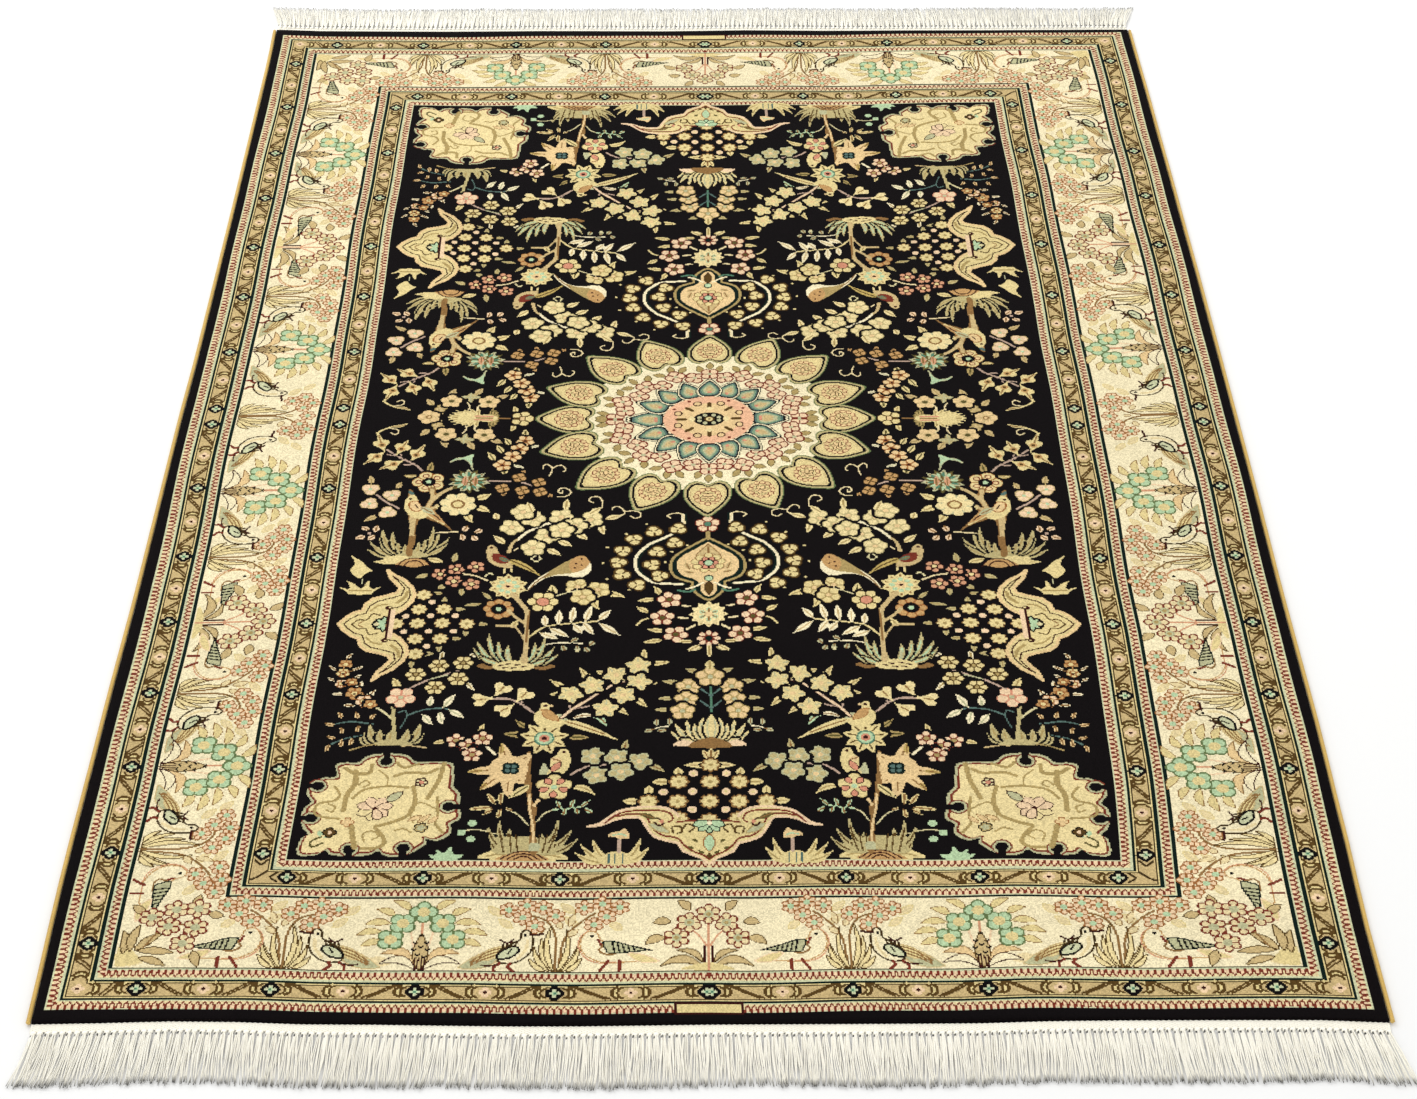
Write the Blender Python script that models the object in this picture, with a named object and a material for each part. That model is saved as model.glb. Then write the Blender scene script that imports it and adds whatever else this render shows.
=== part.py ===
"""A hand-knotted rug lying flat: its body, two overcast side cords, two woven end webs and two fringes.

Metres, +Z up. The origin is on the floor under the middle of the rug. +Y runs along the rug's length,
from the near end to the far end, and +X runs across it. An end is -1 where it is the near one and 1
where it is the far one, and a side is -1 for the left and 1 for the right.
"""

import math
import random

import bmesh
import bpy

BODY_WIDTH = 1.000
BODY_LENGTH = 1.560
BODY_THICKNESS = 0.0040
BODY_EDGE_ROUND = 0.0012
SWELL_HEIGHT = 0.0005  # how far the pile's face rises and dips
CELLS_ACROSS = 20
CELLS_ALONG = 32

FIT_GAP = 0.0003  # between pieces that touch
CORD_RADIUS = 0.0021
WEB_WIDTH = 0.0080
WEB_THICKNESS = 0.0018

KNOT_ROW_WIDTH = 0.0030
KNOT_ROW_THICKNESS = 0.0026
LOCKS_PER_END = 148
LOCK_SHARE = 0.64  # a lock's width at its root, as a share of the pitch
LOCK_LENGTH = 0.0550
LOCK_TRIM = 0.0060  # how much shorter the shortest locks are
LOCK_STRAY = 0.10  # how far a tip strays sideways on its own, as a share of the pitch
FRINGE_SEED = 4

BODY_COLOUR = (0.035, 0.022, 0.038)
CORD_COLOUR = (0.66, 0.50, 0.20)
WARP_COLOUR = (0.82, 0.79, 0.68)

# Place along the edge, and how far the edge lies outside the straight line there.
NEAR_END_DRIFT = (
    (-0.50, 0.0000),
    (-0.38, -0.0030),
    (-0.29, 0.0005),
    (-0.12, 0.0030),
    (0.03, 0.0012),
    (0.18, 0.0008),
    (0.28, -0.0020),
    (0.44, -0.0022),
    (0.50, 0.0008),
)
FAR_END_DRIFT = (
    (-0.50, 0.0020),
    (-0.44, -0.0015),
    (-0.31, -0.0025),
    (-0.17, -0.0008),
    (-0.04, -0.0015),
    (0.05, 0.0014),
    (0.15, 0.0000),
    (0.30, 0.0012),
    (0.50, 0.0025),
)
LEFT_SIDE_DRIFT = (
    (-0.78, 0.0010),
    (-0.62, 0.0026),
    (-0.44, 0.0015),
    (-0.26, -0.0004),
    (-0.02, -0.0006),
    (0.10, -0.0020),
    (0.34, -0.0020),
    (0.70, -0.0010),
    (0.78, 0.0010),
)
RIGHT_SIDE_DRIFT = (
    (-0.78, 0.0008),
    (-0.68, 0.0002),
    (-0.58, 0.0022),
    (-0.44, 0.0036),
    (-0.28, 0.0030),
    (-0.10, 0.0040),
    (0.20, 0.0040),
    (0.40, 0.0030),
    (0.58, 0.0018),
    (0.78, 0.0000),
)

# Place across the rug, and how far the tips of the fringe lean towards +X there.
NEAR_LEAN = (
    (-0.50, -0.0060),
    (-0.44, -0.0030),
    (-0.34, 0.0015),
    (-0.24, -0.0030),
    (-0.10, -0.0010),
    (0.06, 0.0030),
    (0.20, -0.0010),
    (0.34, 0.0020),
    (0.44, 0.0020),
    (0.50, 0.0105),
)
FAR_LEAN = (
    (-0.50, -0.0140),
    (-0.45, -0.0030),
    (-0.30, 0.0020),
    (-0.12, -0.0025),
    (0.08, 0.0025),
    (0.26, -0.0020),
    (0.44, 0.0020),
    (0.50, 0.0150),
)

# A lock past its root: share of its length, of its lean, its height, and share of its root's width.
LOCK_SECTIONS = (
    (0.50, 0.34, 0.0022, 0.95),
    (1.00, 1.00, 0.0015, 0.80),
)


def smooth_read(table, place):
    """The table's value at a place, with a smooth step from each row to the next."""
    if place <= table[0][0]:
        return table[0][1]
    for (low, low_value), (high, high_value) in zip(table, table[1:]):
        if place <= high:
            share = (place - low) / (high - low)
            return low_value + (high_value - low_value) * share * share * (3 - 2 * share)
    return table[-1][1]


def edge_drift(table, place, span, cells):
    """The drift at a place, straight between the body's grid lines, so that neighbours stay parallel."""
    cell = span / cells
    steps = min(max((place + span / 2) / cell, 0.0), float(cells))
    line = min(int(steps), cells - 1)
    before = smooth_read(table, line * cell - span / 2)
    after = smooth_read(table, (line + 1) * cell - span / 2)
    return before + (after - before) * (steps - line)


def drifted(across, along):
    """Where the uneven weave puts a point of the straight rug."""
    left = edge_drift(LEFT_SIDE_DRIFT, along, BODY_LENGTH, CELLS_ALONG)
    right = edge_drift(RIGHT_SIDE_DRIFT, along, BODY_LENGTH, CELLS_ALONG)
    near = edge_drift(NEAR_END_DRIFT, across, BODY_WIDTH, CELLS_ACROSS)
    far = edge_drift(FAR_END_DRIFT, across, BODY_WIDTH, CELLS_ACROSS)
    from_left = across / BODY_WIDTH + 0.5
    from_near = along / BODY_LENGTH + 0.5
    x = across - left * (1 - from_left) + right * from_left
    y = along - near * (1 - from_near) + far * from_near
    return x, y


def past_end(end, across, beyond):
    """A place that lies that far beyond the body's end."""
    x, y = drifted(across, end * BODY_LENGTH / 2)
    return x, y + end * beyond


def swell(across, along):
    """How far the pile's face stands above or below its usual height."""
    long_wave = math.sin(5.2 * across + 1.9 * along) * math.cos(3.1 * along - 1.4 * across)
    short_wave = math.sin(17.0 * across + 2.0) * math.cos(13.0 * along)
    return SWELL_HEIGHT * (0.65 * long_wave + 0.35 * short_wave)


def clear_scene():
    for old in list(bpy.data.objects):
        bpy.data.objects.remove(old, do_unlink=True)


def make_material(name, colour, roughness):
    material = bpy.data.materials.new(name)
    material.use_nodes = True
    shader = material.node_tree.nodes["Principled BSDF"]
    shader.inputs["Base Color"].default_value = (*colour, 1.0)
    shader.inputs["Roughness"].default_value = roughness
    shader.inputs["Metallic"].default_value = 0.0
    return material


def add_mesh_part(name, builder, material, collection):
    """Turns a finished bmesh into one object of the rug."""
    bmesh.ops.recalc_face_normals(builder, faces=builder.faces)
    mesh = bpy.data.meshes.new(name)
    builder.to_mesh(mesh)
    builder.free()
    mesh.materials.append(material)
    part = bpy.data.objects.new(name, mesh)
    collection.objects.link(part)
    return part


def make_body(material, collection):
    """The knotted pile on its ground weave: one flat slab with a rounded upper rim."""
    builder = bmesh.new()
    bmesh.ops.create_grid(builder, x_segments=CELLS_ACROSS, y_segments=CELLS_ALONG, size=0.5)
    for vert in builder.verts:
        across = vert.co.x * BODY_WIDTH
        along = vert.co.y * BODY_LENGTH
        vert.co = (*drifted(across, along), BODY_THICKNESS + swell(across, along))

    upper_rim = [edge for edge in builder.edges if edge.is_boundary]
    walls = bmesh.ops.extrude_edge_only(builder, edges=upper_rim)["geom"]
    for vert in walls:
        if isinstance(vert, bmesh.types.BMVert):
            vert.co.z = 0.0
    lower_rim = [edge for edge in builder.edges if edge.is_boundary]
    bmesh.ops.holes_fill(builder, edges=lower_rim)
    bmesh.ops.bevel(
        builder, geom=upper_rim, offset=BODY_EDGE_ROUND, segments=2, profile=0.5, affect="EDGES"
    )
    return add_mesh_part("rug_body", builder, material, collection)


def make_side_cord(name, side, material, collection):
    """The overcast edge: outer warps wrapped into one round cord that lies along the body."""
    curve = bpy.data.curves.new(name, "CURVE")
    curve.dimensions = "3D"
    curve.bevel_depth = CORD_RADIUS
    curve.bevel_resolution = 2
    curve.use_fill_caps = True
    curve.materials.append(material)
    spline = curve.splines.new("POLY")
    spline.points.add(CELLS_ALONG)
    for step, point in enumerate(spline.points):
        along = BODY_LENGTH * (step / CELLS_ALONG - 0.5)
        x, y = drifted(side * BODY_WIDTH / 2, along)
        point.co = (x + side * (CORD_RADIUS + FIT_GAP), y, CORD_RADIUS, 1.0)
    part = bpy.data.objects.new(name, curve)
    collection.objects.link(part)
    return part


def make_strip(places, end, inner, width, thickness):
    """A flat strip past the body's end, cut across at the given places, from a grid drawn up off the floor."""
    builder = bmesh.new()
    cuts = len(places) - 1
    bmesh.ops.create_grid(builder, x_segments=cuts, y_segments=1, size=0.5)
    for vert in builder.verts:
        across = places[round((vert.co.x + 0.5) * cuts)]
        vert.co = (*past_end(end, across, inner + (vert.co.y + 0.5) * width), 0.0)
    drawn_up = bmesh.ops.extrude_face_region(builder, geom=builder.faces[:], use_keep_orig=True)["geom"]
    for vert in drawn_up:
        if isinstance(vert, bmesh.types.BMVert):
            vert.co.z = thickness
    bmesh.ops.recalc_face_normals(builder, faces=builder.faces)
    return builder


def make_web(name, end, material, collection):
    """The flat-woven strip past the last row of knots."""
    places = [BODY_WIDTH * (cut / CELLS_ACROSS - 0.5) for cut in range(CELLS_ACROSS + 1)]
    builder = make_strip(places, end, FIT_GAP, WEB_WIDTH, WEB_THICKNESS)
    return add_mesh_part(name, builder, material, collection)


def grow_lock(builder, root, end, length, lean, stray):
    """Draws a root face out, section by section, into one lock that rests on the floor."""
    start = root.calc_center_median()
    half_width = LOCK_SHARE * BODY_WIDTH / LOCKS_PER_END / 2
    middle = start.x
    tip = root
    for along, lean_share, height, width_share in LOCK_SECTIONS:
        tip = bmesh.ops.extrude_discrete_faces(builder, faces=[tip])["faces"][0]
        next_middle = start.x + lean * lean_share + stray * along
        for vert in tip.verts:
            sideways = math.copysign(half_width * width_share, vert.co.x - middle)
            upright = height if vert.co.z > 0 else 0.0
            vert.co = (next_middle + sideways, start.y + end * length * along, upright)
        middle = next_middle


def make_fringe(name, end, lean_table, material, collection):
    """The row of warp knots, and the locks of loose warp ends that grow out of it."""
    pitch = BODY_WIDTH / LOCKS_PER_END
    places = [-BODY_WIDTH / 2]
    for lock in range(LOCKS_PER_END):
        centre = (lock + 0.5) * pitch - BODY_WIDTH / 2
        places += [centre - LOCK_SHARE * pitch / 2, centre + LOCK_SHARE * pitch / 2]
    places.append(BODY_WIDTH / 2)
    inner = 2 * FIT_GAP + WEB_WIDTH
    builder = make_strip(places, end, inner, KNOT_ROW_WIDTH, KNOT_ROW_THICKNESS)

    outward = [face for face in builder.faces if face.normal.y * end > 0.5]
    outward.sort(key=lambda face: face.calc_center_median().x)
    chance = random.Random(FRINGE_SEED + end)
    for root in outward[1::2]:
        across = root.calc_center_median().x
        trim = 0.35 + 0.2 * math.sin(31.0 * across + 0.6) + 0.45 * chance.random()
        stray = chance.uniform(-LOCK_STRAY, LOCK_STRAY) * pitch
        grow_lock(builder, root, end, LOCK_LENGTH - LOCK_TRIM * trim, smooth_read(lean_table, across), stray)
    return add_mesh_part(name, builder, material, collection)


def main():
    clear_scene()
    rug = bpy.data.collections.new("rug")
    bpy.context.scene.collection.children.link(rug)
    pile_wool = make_material("knotted_pile", BODY_COLOUR, 0.85)
    make_body(pile_wool, rug)
    for name, side in (("side_cord_left", -1), ("side_cord_right", 1)):
        make_side_cord(name, side, make_material(name, CORD_COLOUR, 0.55), rug)
    for name, end in (("end_web_near", -1), ("end_web_far", 1)):
        make_web(name, end, make_material(name, WARP_COLOUR, 0.80), rug)
    for name, end, lean_table in (("fringe_near", -1, NEAR_LEAN), ("fringe_far", 1, FAR_LEAN)):
        make_fringe(name, end, lean_table, make_material(name, WARP_COLOUR, 0.75), rug)


main()
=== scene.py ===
# Persian rug, laid flat: knotted pile drawn knot by knot, wrapped side cords, woven end webs and fringes.
import math

import bpy
import numpy as np
from mathutils import Matrix, Vector


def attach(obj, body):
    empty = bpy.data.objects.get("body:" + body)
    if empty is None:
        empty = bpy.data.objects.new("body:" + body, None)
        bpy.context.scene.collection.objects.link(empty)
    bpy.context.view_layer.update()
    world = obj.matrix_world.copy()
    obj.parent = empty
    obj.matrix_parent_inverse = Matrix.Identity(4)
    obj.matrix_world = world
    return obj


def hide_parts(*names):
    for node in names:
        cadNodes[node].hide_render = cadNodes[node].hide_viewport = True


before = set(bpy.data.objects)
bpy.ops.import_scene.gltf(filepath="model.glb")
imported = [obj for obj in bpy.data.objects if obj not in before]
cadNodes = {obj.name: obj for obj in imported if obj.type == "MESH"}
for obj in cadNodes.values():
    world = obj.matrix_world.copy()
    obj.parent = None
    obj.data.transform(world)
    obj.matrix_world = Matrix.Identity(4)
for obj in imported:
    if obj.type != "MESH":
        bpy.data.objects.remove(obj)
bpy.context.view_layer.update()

deg = math.radians

# the camera stands in front of the near end, at eye height
camera = {
    "place": (-0.0153, -2.2026, 1.5499),
    "pitchDown": 37.866,
    "yaw": 0.468,
    "roll": 0.244,
    "lens": 71.39,
}

studio = {
    "worldLight": 1.0,
    "keyLight": 40.0,
    "keySize": (2.4, 1.6),
    "keyPlace": (-1.3, 1.6, 2.6),
    "floorColour": (0.93, 0.93, 0.925),
    "floorHeight": -0.0004,
}


def addObject(name, data):
    obj = bpy.data.objects.new(name, data)
    bpy.context.scene.collection.objects.link(obj)
    return obj


def makeCamera():
    down, yaw, roll = deg(camera["pitchDown"]), deg(camera["yaw"]), deg(camera["roll"])
    ahead = Vector((math.sin(yaw) * math.cos(down), math.cos(yaw) * math.cos(down), -math.sin(down)))
    level = Vector((math.cos(yaw), -math.sin(yaw), 0))
    above = level.cross(ahead)
    right = level * math.cos(roll) + above * math.sin(roll)
    up = above * math.cos(roll) - level * math.sin(roll)
    data = bpy.data.cameras.new("camera")
    data.lens = camera["lens"]
    data.sensor_width = 36
    data.clip_start, data.clip_end = 0.05, 50
    cam = addObject("camera", data)
    turn = Matrix((right, up, -ahead)).transposed().to_4x4()
    cam.matrix_world = Matrix.Translation(camera["place"]) @ turn
    bpy.context.scene.camera = cam


makeCamera()
print("camera placed")

# dyes of the silk, as seen in daylight
dyes = {
    "night": (12, 8, 9), "pine": (10, 27, 22), "maroon": (54, 18, 14), "brick": (114, 48, 34),
    "bronze": (82, 60, 26), "bark": (134, 100, 58), "olive": (86, 78, 40), "khaki": (164, 142, 90),
    "tan": (192, 168, 118), "straw": (214, 195, 137), "cream": (231, 218, 179), "shade": (220, 201, 153),
    "sage": (178, 176, 136), "mint": (172, 196, 154), "teal": (80, 120, 96), "salmon": (200, 147, 112),
    "blush": (224, 194, 156), "mauve": (178, 152, 132), "rust": (148, 96, 52), "mustard": (182, 158, 92),
    "lemon": (223, 204, 149), "white": (208, 197, 149), "peach": (218, 188, 136), "slate": (82, 106, 98),
    "rose": (200, 136, 108), "amber": (184, 144, 92), "reed": (180, 166, 116), "moss": (122, 148, 118),
    "leek": (96, 112, 70), "clay": (223, 174, 138), "mist": (195, 197, 158), "umber": (58, 42, 18),
}
dyeNumber = {name: number for number, name in enumerate(dyes)}
palette = list(dyes.values())
edgeColour = dyeNumber["night"]
dyeLimit = 32  # a quad's row of knots is kept as one number to this base

# the drawing has one knot to a square. Its near left quarter is drawn here, and mirrored both ways.
# Places are mm on the rug: x from the left side, y from the far end
middleX, middleY, nearEnd = 505, 787, 1560
pastX, pastY = 515, 780  # a little past the middle
columns, rows = 480, 750
knotWide, knotLong = middleX / columns, (nearEnd - middleY) / rows
quarter = np.zeros((rows, columns), np.uint8)


def cellsRound(points, margin=1):
    low, high = np.min(points, 0) - margin, np.max(points, 0) + margin
    left, right = (int(np.clip(v / knotWide, 0, columns)) for v in (low[0], high[0] + knotWide))
    ends = high[1], low[1] - knotLong
    bottom, top = (int(np.clip((nearEnd - v) / knotLong, 0, rows)) for v in ends)
    xs = (np.arange(left, right) + 0.5) * knotWide
    ys = nearEnd - (np.arange(bottom, top) + 0.5) * knotLong
    return quarter[bottom:top, left:right], xs[None, :], ys[:, None]


def fill(points, dye):
    cells, xs, ys = cellsRound(points)
    inside = np.zeros(cells.shape, bool)
    for (ax, ay), (bx, by) in zip(points, np.roll(points, -1, 0)):
        if ay != by:
            inside ^= ((ay > ys) != (by > ys)) & (xs < ax + (ys - ay) * (bx - ax) / (by - ay))
    cells[inside] = dyeNumber[dye]


def stroke(points, dye, width=1.5):
    cells, xs, ys = cellsRound(points, width)
    near = np.zeros(cells.shape, bool)
    for (ax, ay), (bx, by) in zip(points, points[1:]):
        length = max((bx - ax) ** 2 + (by - ay) ** 2, 1e-6)
        along = np.clip(((xs - ax) * (bx - ax) + (ys - ay) * (by - ay)) / length, 0, 1)
        awayX, awayY = xs - ax - along * (bx - ax), ys - ay - along * (by - ay)
        near |= awayX ** 2 + awayY ** 2 < width * width / 4
    cells[near] = dyeNumber[dye]


def smooth(points, closed=False, steps=5):
    points = np.asarray(points, float)
    if closed:
        points = np.concatenate([points[-1:], points, points[:2]])
    else:
        points = np.concatenate([2 * points[:1] - points[1:2], points, 2 * points[-1:] - points[-2:-1]])
    t = np.arange(steps)[:, None] / steps
    parts = []
    for p0, p1, p2, p3 in zip(points, points[1:], points[2:], points[3:]):
        bend = 2 * p0 - 5 * p1 + 4 * p2 - p3 + t * (3 * (p1 - p2) + p3 - p0)
        parts.append(p1 + 0.5 * t * (p2 - p0 + t * bend))
    if not closed:
        parts.append(points[-2:-1])
    return np.concatenate(parts)


# a motif is drawn in its own mm, s to the right and t up, and placed with a turn, a flip and a size
def spot(x, y, turn=0, flip=1, size=1):
    c, s = math.cos(deg(turn)) * size, math.sin(deg(turn)) * size

    def at(points):
        points = np.atleast_2d(np.asarray(points, float))
        across = x + flip * points[:, 0] * c - points[:, 1] * s
        return np.column_stack([across, y - flip * points[:, 0] * s - points[:, 1] * c])
    return at


# lines are drawn this much wider than the motifs say
lineGrowth, leafLineGrowth = 1.25, 1.6
ribWidth, veinWidth, dotRing = 1.25, 1.2, 1.3


def patch(at, points, dye, line=None, width=1.5):
    shape = at(smooth(points, closed=True))
    fill(shape, dye)
    if line:
        stroke(np.concatenate([shape, shape[:1]]), line, width * lineGrowth)


def draw(at, points, dye, width=1.5):
    stroke(at(smooth(points)), dye, width * lineGrowth)


def dot(at, place, radius, dye, ring=None):
    if ring:
        dot(at, place, radius + dotRing, ring)
    turn = np.linspace(0, 2 * math.pi, 13)[:-1]
    fill(at(np.column_stack([place[0] + radius * np.cos(turn), place[1] + radius * np.sin(turn)])), dye)


# round lobes about a heart
def flower(at, place, radius, petals, dye, line, heart, turn=0, heartShare=0.36, depth=0.3, width=1.6,
        ribs=True, gap=0):
    width = width * lineGrowth
    angle = np.linspace(0, 2 * math.pi, petals * 8 + 1)[:-1]
    lobe = 1 - depth + depth * np.abs(np.cos(petals * (angle - deg(turn)) / 2)) ** 0.75
    way = np.column_stack([np.cos(angle), np.sin(angle)])
    if gap:
        fill(at(place + way * (radius * lobe + gap)[:, None]), "night")
    fill(at(place + way * (radius * lobe)[:, None]), line)
    fill(at(place + way * np.maximum(radius * lobe - width, 0.5)[:, None]), dye)
    if ribs:
        for petal in range(petals):
            a = deg(turn) + (petal + 0.5) * 2 * math.pi / petals
            ray = np.array([math.cos(a), math.sin(a)])
            rib = [place + ray * radius * share for share in (heartShare, 1 - depth)]
            stroke(at(rib), line, ribWidth * lineGrowth)
    if heart:
        dot(at, place, radius * heartShare, heart, line if gap and ribs else None)


def leafShape(start, tip, width, bend=0, fullest=0.45):
    start, tip = np.array(start, float), np.array(tip, float)
    t = np.linspace(0, 1, 9)[:, None]
    side = np.array([start[1] - tip[1], tip[0] - start[0]])
    spine = start + (tip - start) * t + side * bend * 4 * t * (1 - t)
    rise, fall = np.clip(t / fullest, 0, 1), np.clip((t - fullest) / (1 - fullest), 0, 1)
    grow = np.sin(rise * math.pi / 2) ** 0.8 * np.clip(np.cos(fall * math.pi / 2), 0, 1) ** 0.9
    out = side / np.hypot(*side) * grow * width / 2
    return spine, np.concatenate([spine + out, (spine - out)[::-1]])


def leaf(at, start, tip, width, dye, line=None, bend=0, vein=None, fullest=0.45, lineWidth=1.3):
    spine, shape = leafShape(start, tip, width, bend, fullest)
    if line:
        stroke(at(np.concatenate([shape, shape[:1]])), line, lineWidth * leafLineGrowth)
    elif not vein and width > 4:
        vein = "bark"
    fill(at(shape), dye)
    if vein:
        stroke(at(spine[1:-2]), vein, veinWidth * lineGrowth)


def leaves(at, places, width, dye, line=None, bend=0, vein=None, fullest=0.45, lineWidth=1.3):
    for sx, sy, tx, ty in places:
        leaf(at, (sx, sy), (tx, ty), width, dye, line, bend if tx > sx else -bend, vein, fullest, lineWidth)


# each frame starts where it says on the sides and the ends, and goes on inwards
frames = (
    (6, 1547.4, "mist"), (7.8, 1546.8, "shade"), (13.8, 1539.8, "mist"), (15.5, 1538.2, "pine"),
    (18.2, 1536.5, "straw"), (19.2, 1535.4, "umber"), (20.4, 1534.2, "tan"), (32.6, 1521.9, "umber"),
    (33.8, 1520.8, "straw"), (34.7, 1519.9, "pine"), (37.5, 1518.1, "mist"), (39.6, 1515.2, "shade"),
    (45.2, 1508, "mist"), (46.5, 1506.8, "pine"), (49.3, 1505, "cream"), (126.2, 1430.4, "pine"),
    (129, 1428.4, "mist"), (130.6, 1427, "shade"), (136.6, 1420, "mist"), (138.3, 1418.4, "pine"),
    (141, 1416.6, "straw"), (142, 1415.6, "umber"), (143.2, 1414.4, "tan"), (155.2, 1402.6, "umber"),
    (156.4, 1401.4, "straw"), (157.3, 1400.6, "pine"), (160.1, 1398.8, "mist"), (162.2, 1396.2, "shade"),
    (168.2, 1389, "mist"), (169.8, 1388, "night"),
)
# rows of arches, from their straight edge to their points: first across a side, then across an end
archRows = ((8, 13.4, 1546.8, 1540.2), (45, 39.8, 1508.2, 1514.8), (130.8, 136.4, 1426.8, 1420.4),
    (168, 162.4, 1389.4, 1395.8))
archPitch = 5.3

# points of one arch: across its row from 0 to 1, and along it from -1 to 1
archShape = np.array([(0, -0.8), (0.55, -0.72), (1, 0), (0.55, 0.72), (0, 0.8)])


def drawArches(fromSide, toSide, fromEnd, toEnd):
    across, along = archShape[:, 0], archShape[:, 1] * archPitch / 2
    for x in np.arange(min(fromSide, toSide) + archPitch, pastX, archPitch):
        arch = np.column_stack([x + along, fromEnd + (toEnd - fromEnd) * across])
        fill(arch, "blush")
        stroke(arch, "brick", 1.2)
    for y in np.arange(max(fromEnd, toEnd) - archPitch, pastY, -archPitch):
        arch = np.column_stack([fromSide + (toSide - fromSide) * across, y + along])
        fill(arch, "blush")
        stroke(arch, "brick", 1.3)


def drawBands():
    for left, near, dye in frames:
        fill([(left, pastY), (pastX, pastY), (pastX, near), (left, near)], dye)
    for row in archRows:
        drawArches(*row)


# plus-shaped cross with a dark edge, at the middle of a guard
def guardCross(at):
    for radius, dye in ((4.7, "night"), (1.6, "mist")):
        for s, t in ((3, 0), (-3, 0), (0, 3), (0, -3)):
            dot(at, (s, t), radius, dye)
    dot(at, (0, 0), 2.2, "mint")
    dot(at, (0, 0), 1.2, "teal")


def guardFlower(at):
    for s, t in ((2.6, 0), (-2.6, 0), (0, 2.6), (0, -2.6)):
        dot(at, (s, t), 2.5, "blush")
    dot(at, (0, 0), 1.6, "maroon")


# from a cross at s = 0 to the flower at s = length: crescents, two lines that slant across, crescents
def guardRun(at, length, slant=1):
    for centre, way, height in ((12.5, 1, 4.6), (length - 11.5, -1, 5.6)):
        for shift, dye, width in ((0, "straw", 3.4), (-2.3, "bronze", 1.7), (2, "bronze", 2.1)):
            reach = centre + way * shift
            draw(at, [(reach - way * 3.2, height), (reach, height * 0.6), (reach + way * 0.8, 0),
                (reach, -height * 0.6), (reach - way * 3.2, -height)], dye, width)
    low, high = 15, length - 17
    for shift in (-2.2, 1.6):
        draw(at, [(low + shift - 2, -6.2 * slant), (low + shift + 2, -5.6 * slant),
            ((low + high) / 2 + shift, 0), (high + shift, 6 * slant)], "bronze", 1.5)


sideCrosses = {
    27.2: (800, 900, 1001, 1092, 1187, 1280, 1381, 1480),
    149.8: (801, 902, 1004, 1096, 1190, 1283, 1382),
}
endCrosses = {1527: (71, 172, 281, 387, 503), 1407.6: (172, 279, 387, 502)}


def drawGuards():
    for x, places in sideCrosses.items():
        slant = 1 if x < 100 else -1
        guardCross(spot(x, places[0]))
        for upper, lower in zip(places, places[1:]):
            mid = (upper + lower) / 2
            guardRun(spot(x, upper, -90), mid - upper, slant)
            guardRun(spot(x, lower, -90, flip=-1), lower - mid, slant)
            guardFlower(spot(x, mid))
            guardCross(spot(x, lower))
        draw(spot(x, 787), [(-5, 4), (0, 1.5), (5, 4)], "umber", 1.6)
    for y, places in endCrosses.items():
        slant = -1 if y > 1450 else 1
        for left, right in zip(places, places[1:]):
            mid = (left + right) / 2
            guardRun(spot(left, y), mid - left, slant)
            guardRun(spot(right, y, flip=-1), right - mid, slant)
            guardFlower(spot(mid, y))
        for x in places:
            guardCross(spot(x, y))
    guardRun(spot(27.2, 1480, -90), 44)
    guardFlower(spot(27.2, 1527))
    guardRun(spot(71, 1527, flip=-1), 42, -1)
    draw(spot(149.8, 1382, -90), [(7, 5), (12, 0), (7, -5)], "umber", 1.7)
    draw(spot(172, 1407.6, flip=-1), [(8, 5), (13, 0), (8, -5)], "umber", 1.7)
    draw(spot(150, 1407), [(-6, -4), (0, 0), (6, 6)], "umber", 1.7)


# the cream border has birds at a shrub, and bouquets between them
def borderBlossom(at, place):
    flower(at, place, 8.4, 6, "blush", "rust", "mint", turn=30, heartShare=0.34, width=1)


def tanBird(at):
    patch(at, [(-20, 36), (-25, 41), (-31, 39), (-34, 32), (-41, 28), (-55, 20), (-66, 14), (-74, 10),
        (-60, 9), (-44, 8), (-32, 10), (-22, 17), (-18, 27)], "cream", "amber", 0.9)
    draw(at, [(-24, 42), (-18, 35), (-17, 24), (-23, 13), (-34, 8), (-46, 9)], "salmon", 0.9)
    leaf(at, (-56, 17), (-79, 9), 7, "straw", "blush", 0.05)
    patch(at, [(-36, 30), (-44, 30), (-58, 25), (-70, 21), (-58, 19), (-42, 18), (-38, 22)],
        "sage", "pine", 1.1)
    for s in (-43, -47, -51, -55, -59):
        stroke(at([(s, 29 + (s + 43) * 0.25), (s - 2, 19)]), "night", 1.5)
    stroke(at([(-62, 24), (-74, 20)]), "night", 1.6)
    dot(at, (-27, 36), 1.5, "night")
    draw(at, [(-32, 31), (-35, 26), (-33, 21), (-38, 17), (-46, 17)], "bark", 1.4)
    stroke(at([(-32, 32), (-34, 27)]), "brick", 2.2)
    for leg in ([(-40, 10), (-37, 5), (-34, 0.5)], [(-49, 10), (-49, 0.5)]):
        draw(at, leg, "brick", 2.2)


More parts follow.
